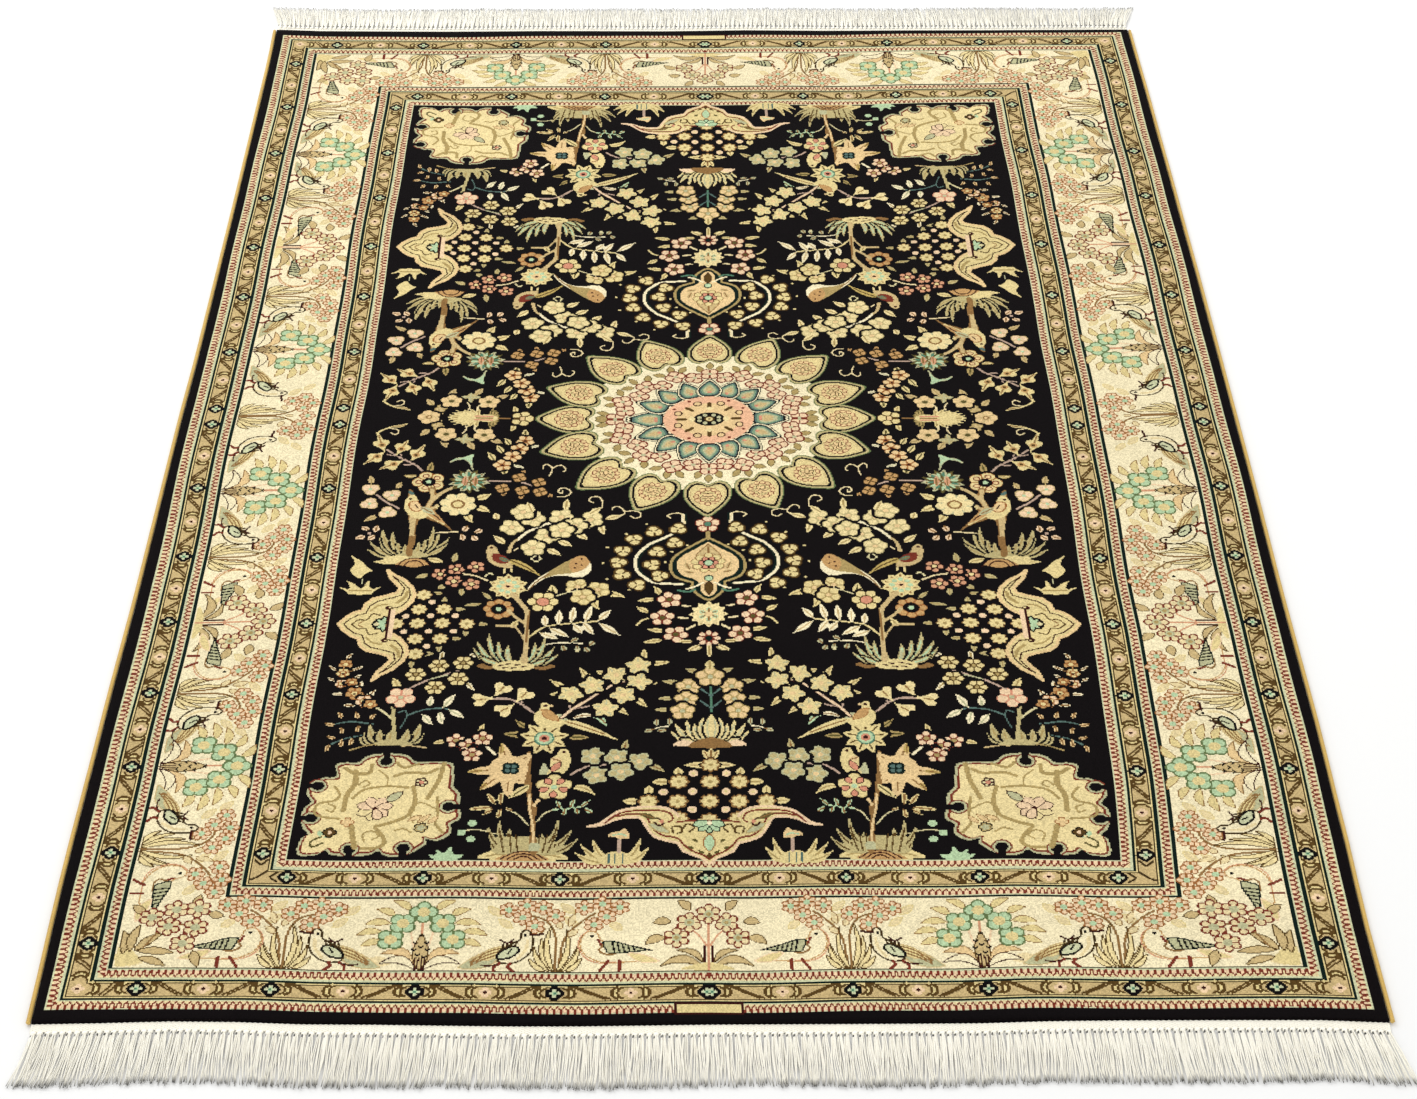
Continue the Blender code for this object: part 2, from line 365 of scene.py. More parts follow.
def greenBird(at):
    leaf(at, (42, 22), (75, 2), 13, "sage", "tan", -0.08)
    leaf(at, (40, 24), (64, 10), 9, "straw", "tan", -0.05)
    for shift in (-3, 0, 3):
        draw(at, [(42, 20 + shift), (54, 15 + shift), (66, 6 + shift * 0.6)], "bark", 1.1)
    body = [(20, 38), (24, 42), (28, 39), (29, 32), (37, 26), (45, 18), (45, 9), (36, 7), (27, 11), (21, 18),
        (19, 26), (19, 33)]
    patch(at, body, "cream", "umber", 1.3)
    draw(at, [(23, 31), (24, 22), (30, 12)], "shade", 2.2)
    dot(at, (25, 36.5), 1.5, "night")
    stroke(at([(21, 37), (11, 38)]), "maroon", 2.2)
    patch(at, [(29, 21), (35, 25), (45, 17), (45, 12), (36, 13)], "mist", "night", 1.6)
    for s in (31, 34.5, 38, 41.5):
        stroke(at([(s, 30.5 - 0.35 * (s - 31)), (s + 1.5, 25 - 0.35 * (s - 31))]), "umber", 1.7)
    stroke(at([(35, 22), (38, 17)]), "night", 1.5)
    draw(at, [(34, 32), (38, 28), (44, 31)], "maroon", 1.4)
    for leg in ([(36, 7), (37, 3), (33, -0.5)], [(44, 7), (48, 3), (48, -0.5)]):
        draw(at, leg, "brick", 2.2)
    draw(at, [(46, 6), (52, 4), (58, 5)], "maroon", 1.2)


shrubBlades = ((-3, 0, -19, 36), (-5, 0, -17, 24), (-8, 0, -19, 13), (3, 0, 12, 33), (6, 0, 18, 24),
    (9, 0, 21, 12), (-1, 0, -7, 42), (2, 0, 5, 46))
shrubBlossoms = ((-48, 66), (-34, 70), (-20, 66), (-38, 56), (-28, 48), (2, 57), (12, 66), (25, 68),
    (39, 63), (28, 55), (18, 46))


def shrub(at, birds=True, blossoms=shrubBlossoms):
    for s, t in ((50, 62), (-7, 66), (41, 49), (-45, 47), (-10, 52)):
        leaf(at, (s - 5, t - 5), (s + 5, t + 4), 6, "shade", "straw")
    draw(at, [(-2, 0), (-4, 26), (-9, 40), (-20, 53), (-29, 60)], "bark", 1.7)
    draw(at, [(1, 0), (1, 32), (6, 48), (14, 55), (24, 57)], "bark", 1.7)
    leaves(at, shrubBlades, 3.8, "lemon", "bronze", -0.1, fullest=0.3, lineWidth=1.25)
    leaves(at, ((-9, 46, -13, 60), (-8, 36, -16, 43), (-3, 44, 1, 52), (10, 44, 18, 40)), 5, "shade", "bark",
        lineWidth=0.9)
    for place in blossoms:
        borderBlossom(at, place)
    if birds:
        tanBird(at)
        greenBird(at)


def bothWays(*places):
    return [(-sx, sy, -tx, ty) for sx, sy, tx, ty in places] + list(places)


def tealBouquet(at):
    pairs = bothWays((10, 62, 24, 72), (22, 56, 36, 63), (25, 48, 44, 47), (31, 39, 50, 36), (30, 29, 46, 24))
    leaves(at, pairs, 6.5, "straw", "bark", 0.12, lineWidth=0.9)
    for side in (-1, 1):
        leaf(at, (side * 5, 6), (side * 30, 16), 7.5, "peach", "bark", side * 0.28, lineWidth=1)
        leaf(at, (side * 3, 0), (side * 30, 6), 7, "cream", "maroon", side * 0.26)
        draw(at, [(side * 2, 10), (side * 6, 26), (side * 9, 40)], "blush", 1.4)
    draw(at, [(0, 18), (0, 52)], "salmon", 1.8)
    leaf(at, (0, 0), (0, 36), 11, "tan", "bronze")
    for s, t in ((0, 34), (-4, 26), (4, 26), (0, 22), (-5, 19), (5, 19), (-2, 14), (3, 12)):
        stroke(at([(s - 1.6, t + 1.8), (s, t), (s + 1.6, t + 1.8)]), "night", 1.3)
    for s in (-4, -1.3, 1.3, 4):
        stroke(at([(s * 0.8, 12), (s, 0)]), "maroon", 1.1)
    for s, t in ((-24, 31), (24, 31), (-15.5, 48), (15.5, 48), (0, 60)):
        flower(at, (s, t), 11.8, 4, "mint", "leek", "straw", 45 if s else 0, 0.42, width=1.35)


def redBouquet(at):
    pairs = bothWays((15, 62, 24, 72), (30, 50, 43, 49), (34, 34, 49, 27))
    leaves(at, pairs, 7.5, "tan", "bronze", 0.1, lineWidth=1)
    for side in (-1, 1):
        leaf(at, (side * 5, 3), (side * 37, 4), 7, "tan", "bronze", side * 0.24)
        leaf(at, (side * 5, 8), (side * 24, 20), 5, "tan", "bronze", side * 0.2)
        draw(at, [(side * 1, 24), (side * 8, 36), (side * 12, 40)], "salmon", 1.3)
        stroke(at([(side * 3, 0), (side * 3, 24)]), "maroon", 1.8)
    patch(at, [(-20, 0), (-12, 5), (0, 7), (12, 5), (20, 0)], "straw")
    draw(at, [(0, 0), (0, 50)], "salmon", 1.6)
    for place in ((-25, 33), (25, 33), (-15, 49), (15, 49), (0, 58)):
        flower(at, place, 11.2, 6, "shade", "brick", "sage", turn=30, width=1.3)
        dot(at, place, 2, "khaki")


def cornerSpray():
    at = spot(0, 1560)
    patch(at, [(51, 57), (51, 76), (58, 76), (70, 62), (62, 57)], "straw")
    leaves(at, ((55, 70, 53, 93), (60, 72, 64, 99), (64, 73, 82, 90), (66, 72, 93, 70), (68, 65, 88, 57)),
        6.5, "tan", "bronze", 0.06)
    leaves(at, ((104, 118, 107, 132), (116, 112, 127, 109), (108, 72, 113, 56), (66, 112, 56, 121)), 7,
        "tan", "bronze", lineWidth=1.1)
    draw(at, [(70, 76), (82, 96), (98, 100)], "bark", 1.4)
    for x, y in ((72, 1452), (90, 1444), (107, 1443), (107, 1463), (99, 1480), (86, 1462)):
        flower(spot(x, y), (0, 0), 10.6, 6, "shade", "brick", "sage", turn=30, width=1.3)


def drawCreamBorder():
    soft = ((62, 1500, 10), (150, 1485, 16), (250, 1497, 12), (330, 1497, 12), (430, 1488, 14))
    for x, y, radius in soft:
        patch(spot(x, y), [(-radius, 0), (0, radius * 0.5), (radius, 0), (0, -radius * 0.4)], "shade")
    rootX, rootY = 51, 1504.4
    shrub(spot(177, rootY))
    shrub(spot(387, rootY, flip=-1))
    tealBouquet(spot(282, rootY))
    redBouquet(spot(505, rootY))
    shrub(spot(rootX, 787, -90), birds=False, blossoms=((-25, 48), (-14, 60), (-32, 60), (-22, 68), (25, 48),
        (14, 60), (32, 60), (22, 68), (0, 66)))
    greenBird(spot(rootX, 802, -90, size=0.98))
    tealBouquet(spot(rootX, 905, -90, size=1.06))
    shrub(spot(rootX, 1003, -90, flip=-1))
    redBouquet(spot(rootX, 1093, -90, size=1.04))
    shrub(spot(rootX, 1187, -90))
    tealBouquet(spot(rootX, 1279, -90, size=1.06))
    shrub(spot(rootX, 1377, -90, flip=-1))
    cornerSpray()


drawBands()
drawGuards()
drawCreamBorder()


# the motifs of the dark field are drawn straight in the mm of the rug
def here(points):
    return np.atleast_2d(np.asarray(points, float))


# the place a given way from a middle: 0 is to the right, 90 towards the near end
def around(x, y, way, wide, tall=None):
    return x + wide * math.cos(deg(way)), y + (wide if tall is None else tall) * math.sin(deg(way))


def oval(x, y, wide, tall, dye, step=15, steps=4):
    fill(smooth([around(x, y, way, wide, tall) for way in range(0, 360, step)], True, steps), dye)


# a curved line through x and y of each place in turn
def scroll(dye, width, *flat):
    draw(here, np.reshape(flat, (-1, 2)), dye, width)


def area(dye, *flat, line=None, width=1.5):
    patch(here, np.reshape(flat, (-1, 2)), dye, line, width)


def speck(x, y, radius, dye):
    dot(here, (x, y), radius, dye)


# dots on one another, the widest first
def rings(place, *sizes):
    for radius, dye in zip(sizes[::2], sizes[1::2]):
        dot(here, place, radius, dye)


def blade(x, y, tipX, tipY, width, dye, *rest, **more):
    leaf(here, (x, y), (tipX, tipY), width, dye, *rest, **more)


def sprigs(places, width, dye="straw"):
    leaves(here, places, width, dye, vein="khaki")


# leaves from a place: its x and y, way, length and width
def spray(places, dye):
    for x, y, way, length, width in places:
        leaf(here, (x, y), around(x, y, way, length), width, dye)


# a flower with the night ground about it
def bloom(x, y, radius, petals, dyes, heartShare=0.36, depth=0.3, width=1.6, turn=0, ribs=True):
    flower(here, (x, y), radius, petals, *dyes, turn, heartShare, depth, width, ribs, gap=1.2)


def blooms(places, *look, turn=0):
    for x, y, *ownTurn in places:
        bloom(x, y, *look, *(ownTurn or (turn,)))


def drawCartouche():
    outline = ((196, 1277), (198, 1288), (194, 1291.5), (187, 1292), (177, 1302), (176, 1312), (181, 1321),
        (176, 1328), (175, 1341), (178, 1352), (183, 1359), (178, 1364), (177, 1382), (192, 1382),
        (199, 1376.5), (206, 1382), (233, 1382), (241, 1377), (248, 1383), (262, 1383), (278, 1371),
        (278, 1364), (288, 1366), (298, 1357), (297, 1347), (304, 1340), (302, 1325), (301, 1312),
        (295, 1303), (294, 1288), (292, 1276), (280, 1273), (262, 1273), (256, 1267), (247, 1263),
        (228, 1263), (219, 1267), (214, 1273), (202, 1273))
    outline = np.array(outline, float)
    middle = np.array([239, 1323])
    for grow, dye in ((0, "sage"), (2.2, "brick"), (4.1, "lemon")):
        away = outline - middle
        inner = outline - away / np.hypot(*away.T)[:, None] * grow * 1.12
        fill(smooth(inner, closed=True, steps=3), dye)
    for x, y, way in ((184, 1302, 180), (183, 1340, 180), (218, 1375, -90), (261, 1374, -90), (293, 1327, 0),
            (237, 1272, 90)):
        at = spot(x, y, way)
        for radius, dye in ((8.6, "brick"), (7.2, "sage"), (5.2, "night")):
            dot(at, (0, 0), radius, dye)
        fill(at([(0, 2.6), (10, 3), (10, -3), (0, -2.6)]), "night")
    vines = ((5, 213, 1284, 214, 1298, 209, 1312, 208, 1330), (2.8, 214, 1316, 222, 1306,
        240, 1302, 258, 1304), (3.8, 262, 1303, 265, 1318, 263, 1334, 252, 1343, 236, 1349),
        (4, 204, 1280, 212, 1286, 224, 1286, 226, 1276), (2.6, 198, 1302, 203, 1312, 199, 1319, 187,
        1323, 185, 1333, 191, 1338, 206, 1340), (1.8, 195, 1323, 201, 1326, 199, 1332, 194, 1330),
        (5, 217, 1349, 219, 1360, 222, 1373), (1.8, 229, 1366, 227, 1358, 234, 1354, 240, 1360, 235, 1364),
        (3.6, 236, 1350, 243, 1360, 245, 1369, 238, 1374, 228, 1374), (2, 252, 1354, 259, 1352, 265, 1356),
        (4.4, 285, 1276, 282, 1296, 275, 1317), (2.8, 283, 1316, 285, 1336, 284, 1346, 291, 1357),
        (1.8, 266, 1345, 262, 1330, 270, 1322, 284, 1330),
        (3.4, 246, 1290, 256, 1286, 272, 1287, 280, 1282), (1.8, 232, 1283, 240, 1292, 240, 1303),
        (1.8, 217, 1300, 222, 1295, 226, 1299, 221, 1303), (3, 246, 1274, 252, 1280, 264, 1276))
    for width, *points in vines:
        scroll("khaki", width * 0.75, *points)
    scroll("olive", 1.6, 194, 1361, 186, 1367, 188, 1373, 196, 1368)
    spray(((193, 1361, -100, 8, 4), (196, 1362, -30, 9, 4)), "mint")
    bloom(200, 1356, 5, 4, ("lemon", "bronze", "blush"))
    flower(here, (213, 1344), 6, 4, "peach", "rust", None, ribs=False, width=1)
    leaves(here, ((262, 1343, 272, 1337), (270, 1345, 279, 1336), (278, 1346, 286, 1338)), 4, "peach",
        "bark", lineWidth=0.8)
    bloom(273, 1351, 5, 5, ("sage", "khaki", None), width=1, ribs=False)
    flower(here, (268, 1298), 6, 5, "white", "maroon", "rose", width=1.3)
    blade(242, 1320, 254, 1309, 7, "sage", "maroon")
    for way, dye in ((100, "lemon"), (150, "lemon"), (200, "blush"), (248, "blush"), (300, "blush"),
            (345, "blush"), (40, "blush"), (70, "blush")):
        tip = around(233, 1328, way, 15, 14)
        leaf(here, (233, 1328), tip, 8, dye, "maroon", fullest=0.7, lineWidth=0.9)
    speck(233, 1328, 1.8, "maroon")


bowShape = ((-1, 0), (-0.5, 0.38), (0, 0.5), (0.5, 0.38), (1, 0))


def drawGrassTree(x, y):
    at = spot(x, y)
    for s, width in ((-19, 36), (19, 34)):
        patch(at, [(s - width / 2, 5), (s - 6, 12), (s + 6, 12), (s + width / 2, 5), (s + width / 2 - 4, 1),
            (s - width / 2 + 4, 1)], "straw")
        draw(at, [(s - 10, 5), (s, 7.5), (s + 10, 5)], "khaki", 1.2)
    blades = ((-10, 10, -21, 47), (-14, 10, -30, 40), (-17, 8, -27, 23), (-7, 10, -12, 38), (-4, 10, -8, 26),
              (12, 10, 26, 50), (16, 10, 38, 38), (19, 8, 43, 26), (9, 10, 14, 32), (18, 8, 26, 24))
    leaves(at, blades, 8, "reed", None, -0.1, vein="bronze", fullest=0.3)
    patch(at, [(-22, 8), (-18, 22), (-8, 28), (8, 28), (18, 22), (24, 8)], "reed")
    for s, t in ((-16, -20), (-10, -12), (-5, -7), (11, 12), (15, 18), (19, 25)):
        draw(at, [(s, 10), ((s + t) / 2, 20), (t, 30)], "bronze", 1.1)
    patch(at, [(-21, 1), (-12, 8), (0, 12), (12, 8), (19, 1)], "amber")
    for reach in (18, 12.5, 7):
        bow = [(side * reach, 2 + rise * reach) for side, rise in bowShape]
        draw(at, bow, "maroon", 1.1)
    patch(at, [(5, 10), (4, 40), (0, 58), (-2, 78), (3, 78), (5, 66), (9, 60), (8, 40), (11, 10)], "bark")
    draw(at, [(8, 14), (6, 38), (2, 60), (1, 76)], "peach", 1.8)
    draw(at, [(6, 64), (11, 75), (18, 79)], "peach", 3)
    patch(at, [(4, 12), (5, 20), (12, 20), (12, 12)], "sage")


def drawLowerField():
    area("mint", 288, 1388, 281, 1382, 287, 1381, 288, 1375, 293, 1379, 299, 1372, 302, 1380, 310,
        1382, 304, 1388)
    scroll("white", 1.2, 308, 1354, 322, 1354, 342, 1361)
    for x, y in ((314, 1346), (306, 1357), (314, 1364)):
        speck(x, y, 4.6, "mint")
    spray(((330, 1327, 172, 22, 6.5), (331, 1325, 242, 17, 6.5), (335, 1325, 268, 17, 6.5),
        (336, 1328, 100, 13, 6.5), (330, 1329, 140, 12, 5), (338, 1328, 20, 9, 5)), "straw")
    scroll("white", 1.1, 340, 1330, 350, 1335, 359, 1347)
    scroll("white", 1.1, 380, 1328, 371, 1334, 366, 1343)
    drawGrassTree(357, 1388)
    blade(357, 1300, 341, 1317, 9, "straw", vein="olive")
    blade(388, 1303, 412, 1313, 9, "straw", bend=-0.16, vein="khaki")
    bloom(377, 1303, 16.5, 5, ("straw", "khaki", None), 0, 0.34, 1.2, -90, False)
    for way in range(-126, 163, 72):
        petal = around(377, 1303, way, 4.5), around(377, 1303, way, 12.5)
        leaf(here, *petal, 6, "rose", "maroon", fullest=0.6, lineWidth=0.9)
    speck(377, 1303, 2.6, "mint")
    scroll("mint", 1.6, 378, 1329, 390, 1328, 402, 1326, 410, 1331)
    spray(((384, 1328, 250, 11, 5.5), (392, 1327, 285, 11, 5.5), (400, 1326, 315, 11, 5.5),
        (388, 1328, 100, 9, 5.5), (397, 1327, 80, 9, 5), (403, 1328, 35, 11, 6)), "mint")
    # bell flower in a tuft
    leaves(here, ((426, 1390, 412, 1362), (424, 1390, 402, 1368), (421, 1390, 397, 1377),
        (436, 1390, 450, 1362), (439, 1390, 457, 1372)), 8.5, "straw", None, 0.1, vein="khaki", fullest=0.3)
    area("straw", 418, 1391, 424, 1378, 438, 1378, 444, 1391)
    for x in (425, 430, 436):
        scroll("slate", 1.1, x, 1390, x, 1380)
    scroll("mauve", 1.8, 433, 1378, 433, 1362)
    area("peach", 423, 1360, 426, 1355, 432, 1354, 437, 1351, 441, 1356, 442, 1363, 436, 1364, 428, 1362)
    scroll("mint", 1.4, 428, 1359, 434, 1358, 438, 1360)


def latticeFlower(x, y, radius):
    flower(here, (x, y), radius, 8, "straw", "bark", "khaki", 0, 0.22, 0.24, 1.3, ribs=False, gap=1.4)


def drawVase():
    sprigs(((479, 1291, 478, 1281), (472, 1298, 457, 1298), (455, 1314, 455, 1302),
        (448, 1321, 434, 1320)), 8)
    spray(((505, 1272, -120, 14, 6), (505, 1272, -90, 15, 6), (505, 1278, 180, 22, 7)), "straw")
    for x, y in ((479, 1298), (505, 1298), (455, 1321), (479, 1321), (505, 1321), (480, 1341),
            (505, 1343), (505, 1278)):
        latticeFlower(x, y, 8.8)
    for x, y in ((491, 1288), (467, 1310), (491, 1309.5), (491, 1330.5)):
        rings((x, y), 4, "blush", 1.8, "straw")
    wing = [(407, 1349), (416, 1346), (423, 1340), (430, 1333), (440, 1329), (455, 1327), (467, 1328),
        (475, 1332), (480, 1338), (479, 1344), (490, 1343), (520, 1343), (520, 1385), (505, 1392),
        (499, 1386), (492, 1382), (484, 1377), (480, 1369), (474, 1367), (464, 1363), (458, 1357),
        (454, 1349), (449, 1340), (440, 1339), (430, 1341), (418, 1347)]
    fill(smooth(wing, closed=True, steps=3), "straw")
    stroke(smooth(wing[:9]), "blush", 2.6)
    stroke(smooth(wing[13:] + wing[:1]), "blush", 2.6)
    scroll("brick", 1.5, 421, 1345, 430, 1336, 440, 1332, 456, 1331, 467, 1332, 474, 1336, 475,
        1342, 472, 1345)
    scroll("brick", 1.5, 430, 1338, 441, 1335, 452, 1337, 457, 1345, 461, 1354, 468, 1360, 479, 1363, 484,
        1370, 492, 1378, 501, 1383, 506, 1388)
    blade(448, 1334, 464, 1342, 5, "olive")
    blade(457, 1347, 473, 1357, 6, "sage", "khaki")
    scroll("maroon", 1.4, 463, 1340, 468, 1346, 464, 1349, 461, 1345)
    speck(466.5, 1344, 2.2, "rose")
    scroll("bronze", 1.4, 476, 1357, 475, 1351, 481, 1350, 483, 1356, 479, 1358)
    scroll("bronze", 1.4, 484, 1352, 487, 1347, 493, 1351, 489, 1356)
    scroll("brick", 1.5, 479, 1345, 490, 1343.5, 508, 1343.5)
    for way in (15, 52, 90, 128, 165):
        tip = around(505, 1345, way, 13.5, 12.5)
        leaf(here, (505, 1345), tip, 7, "mint", "pine", fullest=0.65, lineWidth=1.2)
    speck(505, 1346, 2.4, "cream")
    blade(505, 1378, 505, 1359, 9, "mint", "rust", fullest=0.5)
    for x, y in ((491, 1364), (488, 1372), (496, 1377)):
        blade(x, y, x + 5, y + 4, 3, "olive")
    blade(505, 1386, 505, 1379, 4, "bronze")


# the weaver's night ground bites one knot into each broad edge, so that shapes stand apart
def trimEdges():
    ground = dyeNumber["night"]
    body = quarter != ground
    field = np.zeros_like(body)
    fieldLeft, fieldNear, reach = 172, 1386, 5
    field[int((nearEnd - fieldNear) / knotLong):, int(fieldLeft / knotWide):] = True
    wide = np.pad(body, reach, mode="symmetric")  # past its middle the drawing goes on, mirrored
    inside = slice(reach, -reach)
    for axis in (0, 1):
        for step in (1, -1):
            rolled = [np.roll(wide, -step * n, axis)[inside, inside] for n in (-1, 1, 2, 3, 4)]
            before, *behind = rolled
            quarter[field & body & ~before & np.all(behind, axis=0)] = ground


# a flower of pointed petals
def star(x, y, radius, count, width, dye, vein=None, heart=None, heartRadius=3, turn=0):
    ways = [turn + petal * 360 / count for petal in range(count)]
    for way in ways:
        leaf(here, (x, y), around(x, y, way, radius + 2), width + 3, "night", fullest=0.55)
    for way in ways:
        leaf(here, (x, y), around(x, y, way, radius), width, dye, None, 0, vein, fullest=0.55)
    speck(x, y, radius * 0.42, dye)
    if heart:
        speck(x, y, heartRadius, heart)


# heart-shaped leaf with its tip that way
def heartLeaf(x, y, size, way, dye, inner=None):
    at = spot(x, y, -way - 90, size=size)
    shape = [(0, -8), (3, -3), (6.5, 1), (6, 5), (2.5, 6.5), (0, 4.5), (-2.5, 6.5), (-6, 5),
        (-6.5, 1), (-3, -3)]
    patch(at, shape, dye)
    if inner:
        leaf(at, (0, 4), (0, -4), 4 * size, inner)


def buds(places, dye, length=10.5, width=6):
    for x, y, way in places:
        dx, dy = around(0, 0, way, length / 2)
        blade(x - dx, y - dy, x + dx, y + dy, width, dye, fullest=0.6)


# blades of grass fanning from a base line, outermost first
def tuft(x, y, spread, tips, dye, vein, width):
    reach = max(abs(tipX - x) for tipX, tipY in tips)
    for tipX, tipY in sorted(tips, key=lambda tip: -abs(tip[0] - x)):
        share = (tipX - x) / reach
        bend = 0.1 if share > 0 else -0.1
        blade(x + share * spread, y, tipX, tipY, width, dye, "night", bend, vein, 0.4, 0.9)


def drawOrangeSpray():
    spray(((190, 1145, -65, 12, 6), (186, 1159, 215, 12, 5), (195, 1159, -30, 15, 5),
        (186, 1172, 205, 10, 5), (197, 1172, -45, 13, 5), (204, 1183, -72, 13, 6), (197, 1188, 178, 14, 6),
        (214, 1194, -60, 14, 6), (208, 1202, 178, 14, 5)), "cream")
    scroll("white", 2.4, 222, 1205, 230, 1211, 238, 1221)
    for x, y, radius, dye in ((191, 1150, 7.5, "amber"), (190, 1161, 7, "straw"), (190, 1175, 6.5, "blush"),
            (199, 1173, 6.5, "amber"), (203, 1187, 9, "amber"), (212, 1197, 8.5, "blush"),
            (218, 1201, 7, "amber")):
        bloom(x, y, radius, 5, (dye, "rust", "straw"), 0.3, 0.28, 1.1, 18)
    for x, y in ((190, 1162), (195, 1175), (203, 1188)):
        speck(x, y, 1.3, "maroon")
    scroll("slate", 1.6, 191, 1226, 204, 1223, 222, 1226)
    scroll("slate", 1.4, 190, 1251, 200, 1244, 216, 1240)
    buds(((194, 1215, 70), (208, 1215, 75), (221, 1217, 120), (186, 1227, 20), (197, 1234, 80),
        (210, 1232, 100), (189, 1243, 15), (198, 1250, 95), (206, 1248, 100), (187, 1256, 105)), "peach")


def drawLeftTuft():
    tuft(240, 1253, 14, ((220, 1225), (216, 1235), (212, 1241), (229, 1232), (262, 1225), (265, 1234),
        (252, 1232), (240, 1232)), "reed", "khaki", 9.5)
    area("reed", 226, 1253, 231, 1246, 250, 1246, 255, 1253)
    scroll("reed", 4.2, 238, 1205, 239, 1220, 242, 1246)
    scroll("khaki", 1.6, 206, 1258, 218, 1253, 226, 1252)
    scroll("tan", 1.6, 248, 1255, 256, 1254, 268, 1256)
    blade(241, 1184, 234, 1167, 9, "straw", None, 0, "khaki")
    bloom(243, 1193, 14, 5, ("blush", "rose", "sage"), 0.18, 0.3, 1.2, -54)
    scroll("slate", 1.3, 246, 1231, 250, 1217, 248, 1210, 243, 1212)
    scroll("slate", 1.6, 250, 1216, 264, 1209, 280, 1208, 288, 1210)
    leaves(here, ((268, 1206, 269, 1191), (279, 1208, 289, 1189), (284, 1209, 299, 1220),
        (262, 1214, 272, 1229), (277, 1211, 280, 1229)), 8.5, "cream", vein="sage")


def drawKhakiSpray():
    scroll("mauve", 2, 247, 1183, 262, 1173, 276, 1166, 290, 1159)
    scroll("sage", 1.6, 266, 1170, 284, 1164)
    sprigs(((273, 1146, 274, 1133), (296, 1146, 303, 1134), (296, 1172, 305, 1186)), 6.5, "cream")
    blooms(((253, 1164), (272, 1153), (293, 1149), (290, 1170), (271, 1181)), 10, 6,
        ("straw", "bronze", "khaki"), 0.2, 0.24, 1.1)


def drawHeartBranch():
    scroll("mauve", 2, 320, 1195, 335, 1195, 347, 1203, 357, 1213)
    scroll("mauve", 1.6, 346, 1198, 347, 1203)
    for x, y, way in ((328, 1183, -60), (312, 1196, 165), (332, 1208, 140), (347, 1190, -55)):
        heartLeaf(x, y, 1.35, way, "lemon", "straw")


def drawPinkCluster():
    sprigs(((312, 1240, 315, 1226), (286, 1248, 273, 1251)), 7)
    scroll("cream", 2, 318, 1254, 326, 1264)
    blooms(((293, 1248), (304, 1254), (315, 1245), (307, 1265)), 9.8, 5, ("blush", "brick", "khaki"), 0.24,
        0.34, 1, turn=-90)


def drawStarTree():
    area("bark", 352, 1262, 357, 1262, 358, 1285, 360, 1310, 354, 1310, 352, 1290)
    for tipX, tipY, width in ((331, 1249, 13), (303, 1286, 12), (315, 1309, 12), (340, 1316, 13),
            (357, 1262, 13), (352, 1300, 16)):
        blade(338, 1282, tipX, tipY, width, "peach", fullest=0.5)
    speck(338, 1281, 17, "peach")
    leaves(here, ((331, 1264, 331, 1250), (318, 1284, 304, 1286), (322, 1298, 316, 1308)), 4.5, "mustard")
    for out, radius, dye in ((4, 4.4, "pine"), (3.6, 2.2, "slate")):
        for way in range(45, 405, 90):
            dot(here, around(340, 1281, way, out), radius, dye)
    # the lower bird
    area("sage", 363, 1288, 367, 1273, 373, 1286)
    area("straw", 378, 1259, 383, 1255, 388, 1260, 390, 1270, 388, 1282, 380, 1290, 370, 1290, 372, 1280,
        371, 1270, 376, 1264)
    blade(382, 1272, 372, 1268, 6, "peach")
    blade(374, 1284, 381, 1273, 6, "rose", "maroon", lineWidth=0.9)
    speck(383, 1261, 1.7, "maroon")


def drawUpperBird():
    blade(352, 1233, 341, 1221, 7, "khaki", vein="olive")
    leaves(here, ((350, 1240, 331, 1239), (383, 1242, 404, 1243)), 9, "khaki", vein="olive")
    star(366, 1243, 22, 9, 10.5, "straw", "bronze", None, turn=-90)
    rings((366, 1244), 8.8, "teal", 7.2, "mint", 4.6, "rose", 2.2, "maroon")
    blade(388, 1219, 410, 1216, 7, "cream", bend=-0.1)
    blade(404, 1214, 418, 1231, 7, "mint", bend=-0.12)
    blade(376, 1220, 428, 1247, 10, "straw", None, -0.03, vein="bark", fullest=0.3)
    area("straw", 361, 1201, 366, 1198, 370, 1202, 371, 1209, 378, 1217, 384, 1224, 378, 1231, 366, 1231,
        357, 1224, 356, 1215, 360, 1208)
    blade(363, 1208, 377, 1222, 9, "amber", "rust", lineWidth=0.8)
    area("sage", 376, 1213, 381, 1214, 385, 1221, 379, 1220)
    speck(366, 1203, 1.8, "maroon")
    blade(369, 1202, 374, 1204, 3, "peach")


def drawLilySpray():
    for dye, width in (("maroon", 3.6), ("blush", 2)):
        scroll(dye, width, 380, 1218, 388, 1208, 402, 1195, 418, 1180, 433, 1171)
    scroll("mauve", 1.6, 386, 1208, 386, 1196)
    scroll("mauve", 1.6, 404, 1192, 405, 1182)
    scroll("mauve", 1.6, 390, 1207, 406, 1203)
    sprigs(((403, 1174, 394, 1153), (386, 1184, 368, 1169), (384, 1189, 368, 1188), (422, 1202, 436, 1216),
        (438, 1190, 452, 1207), (450, 1150, 472, 1147), (448, 1146, 449, 1129), (450, 1172, 460, 1175),
        (420, 1165, 407, 1158)), 8)
    for x, y, turn in ((387, 1188, 10), (405, 1177, 40), (425, 1164, 20), (444, 1152, 50), (444, 1173, 0),
            (431, 1190, 30), (416, 1207, 60)):
        star(x, y, 13, 5, 9.5, "straw", "sage", "peach", 2.6, turn)


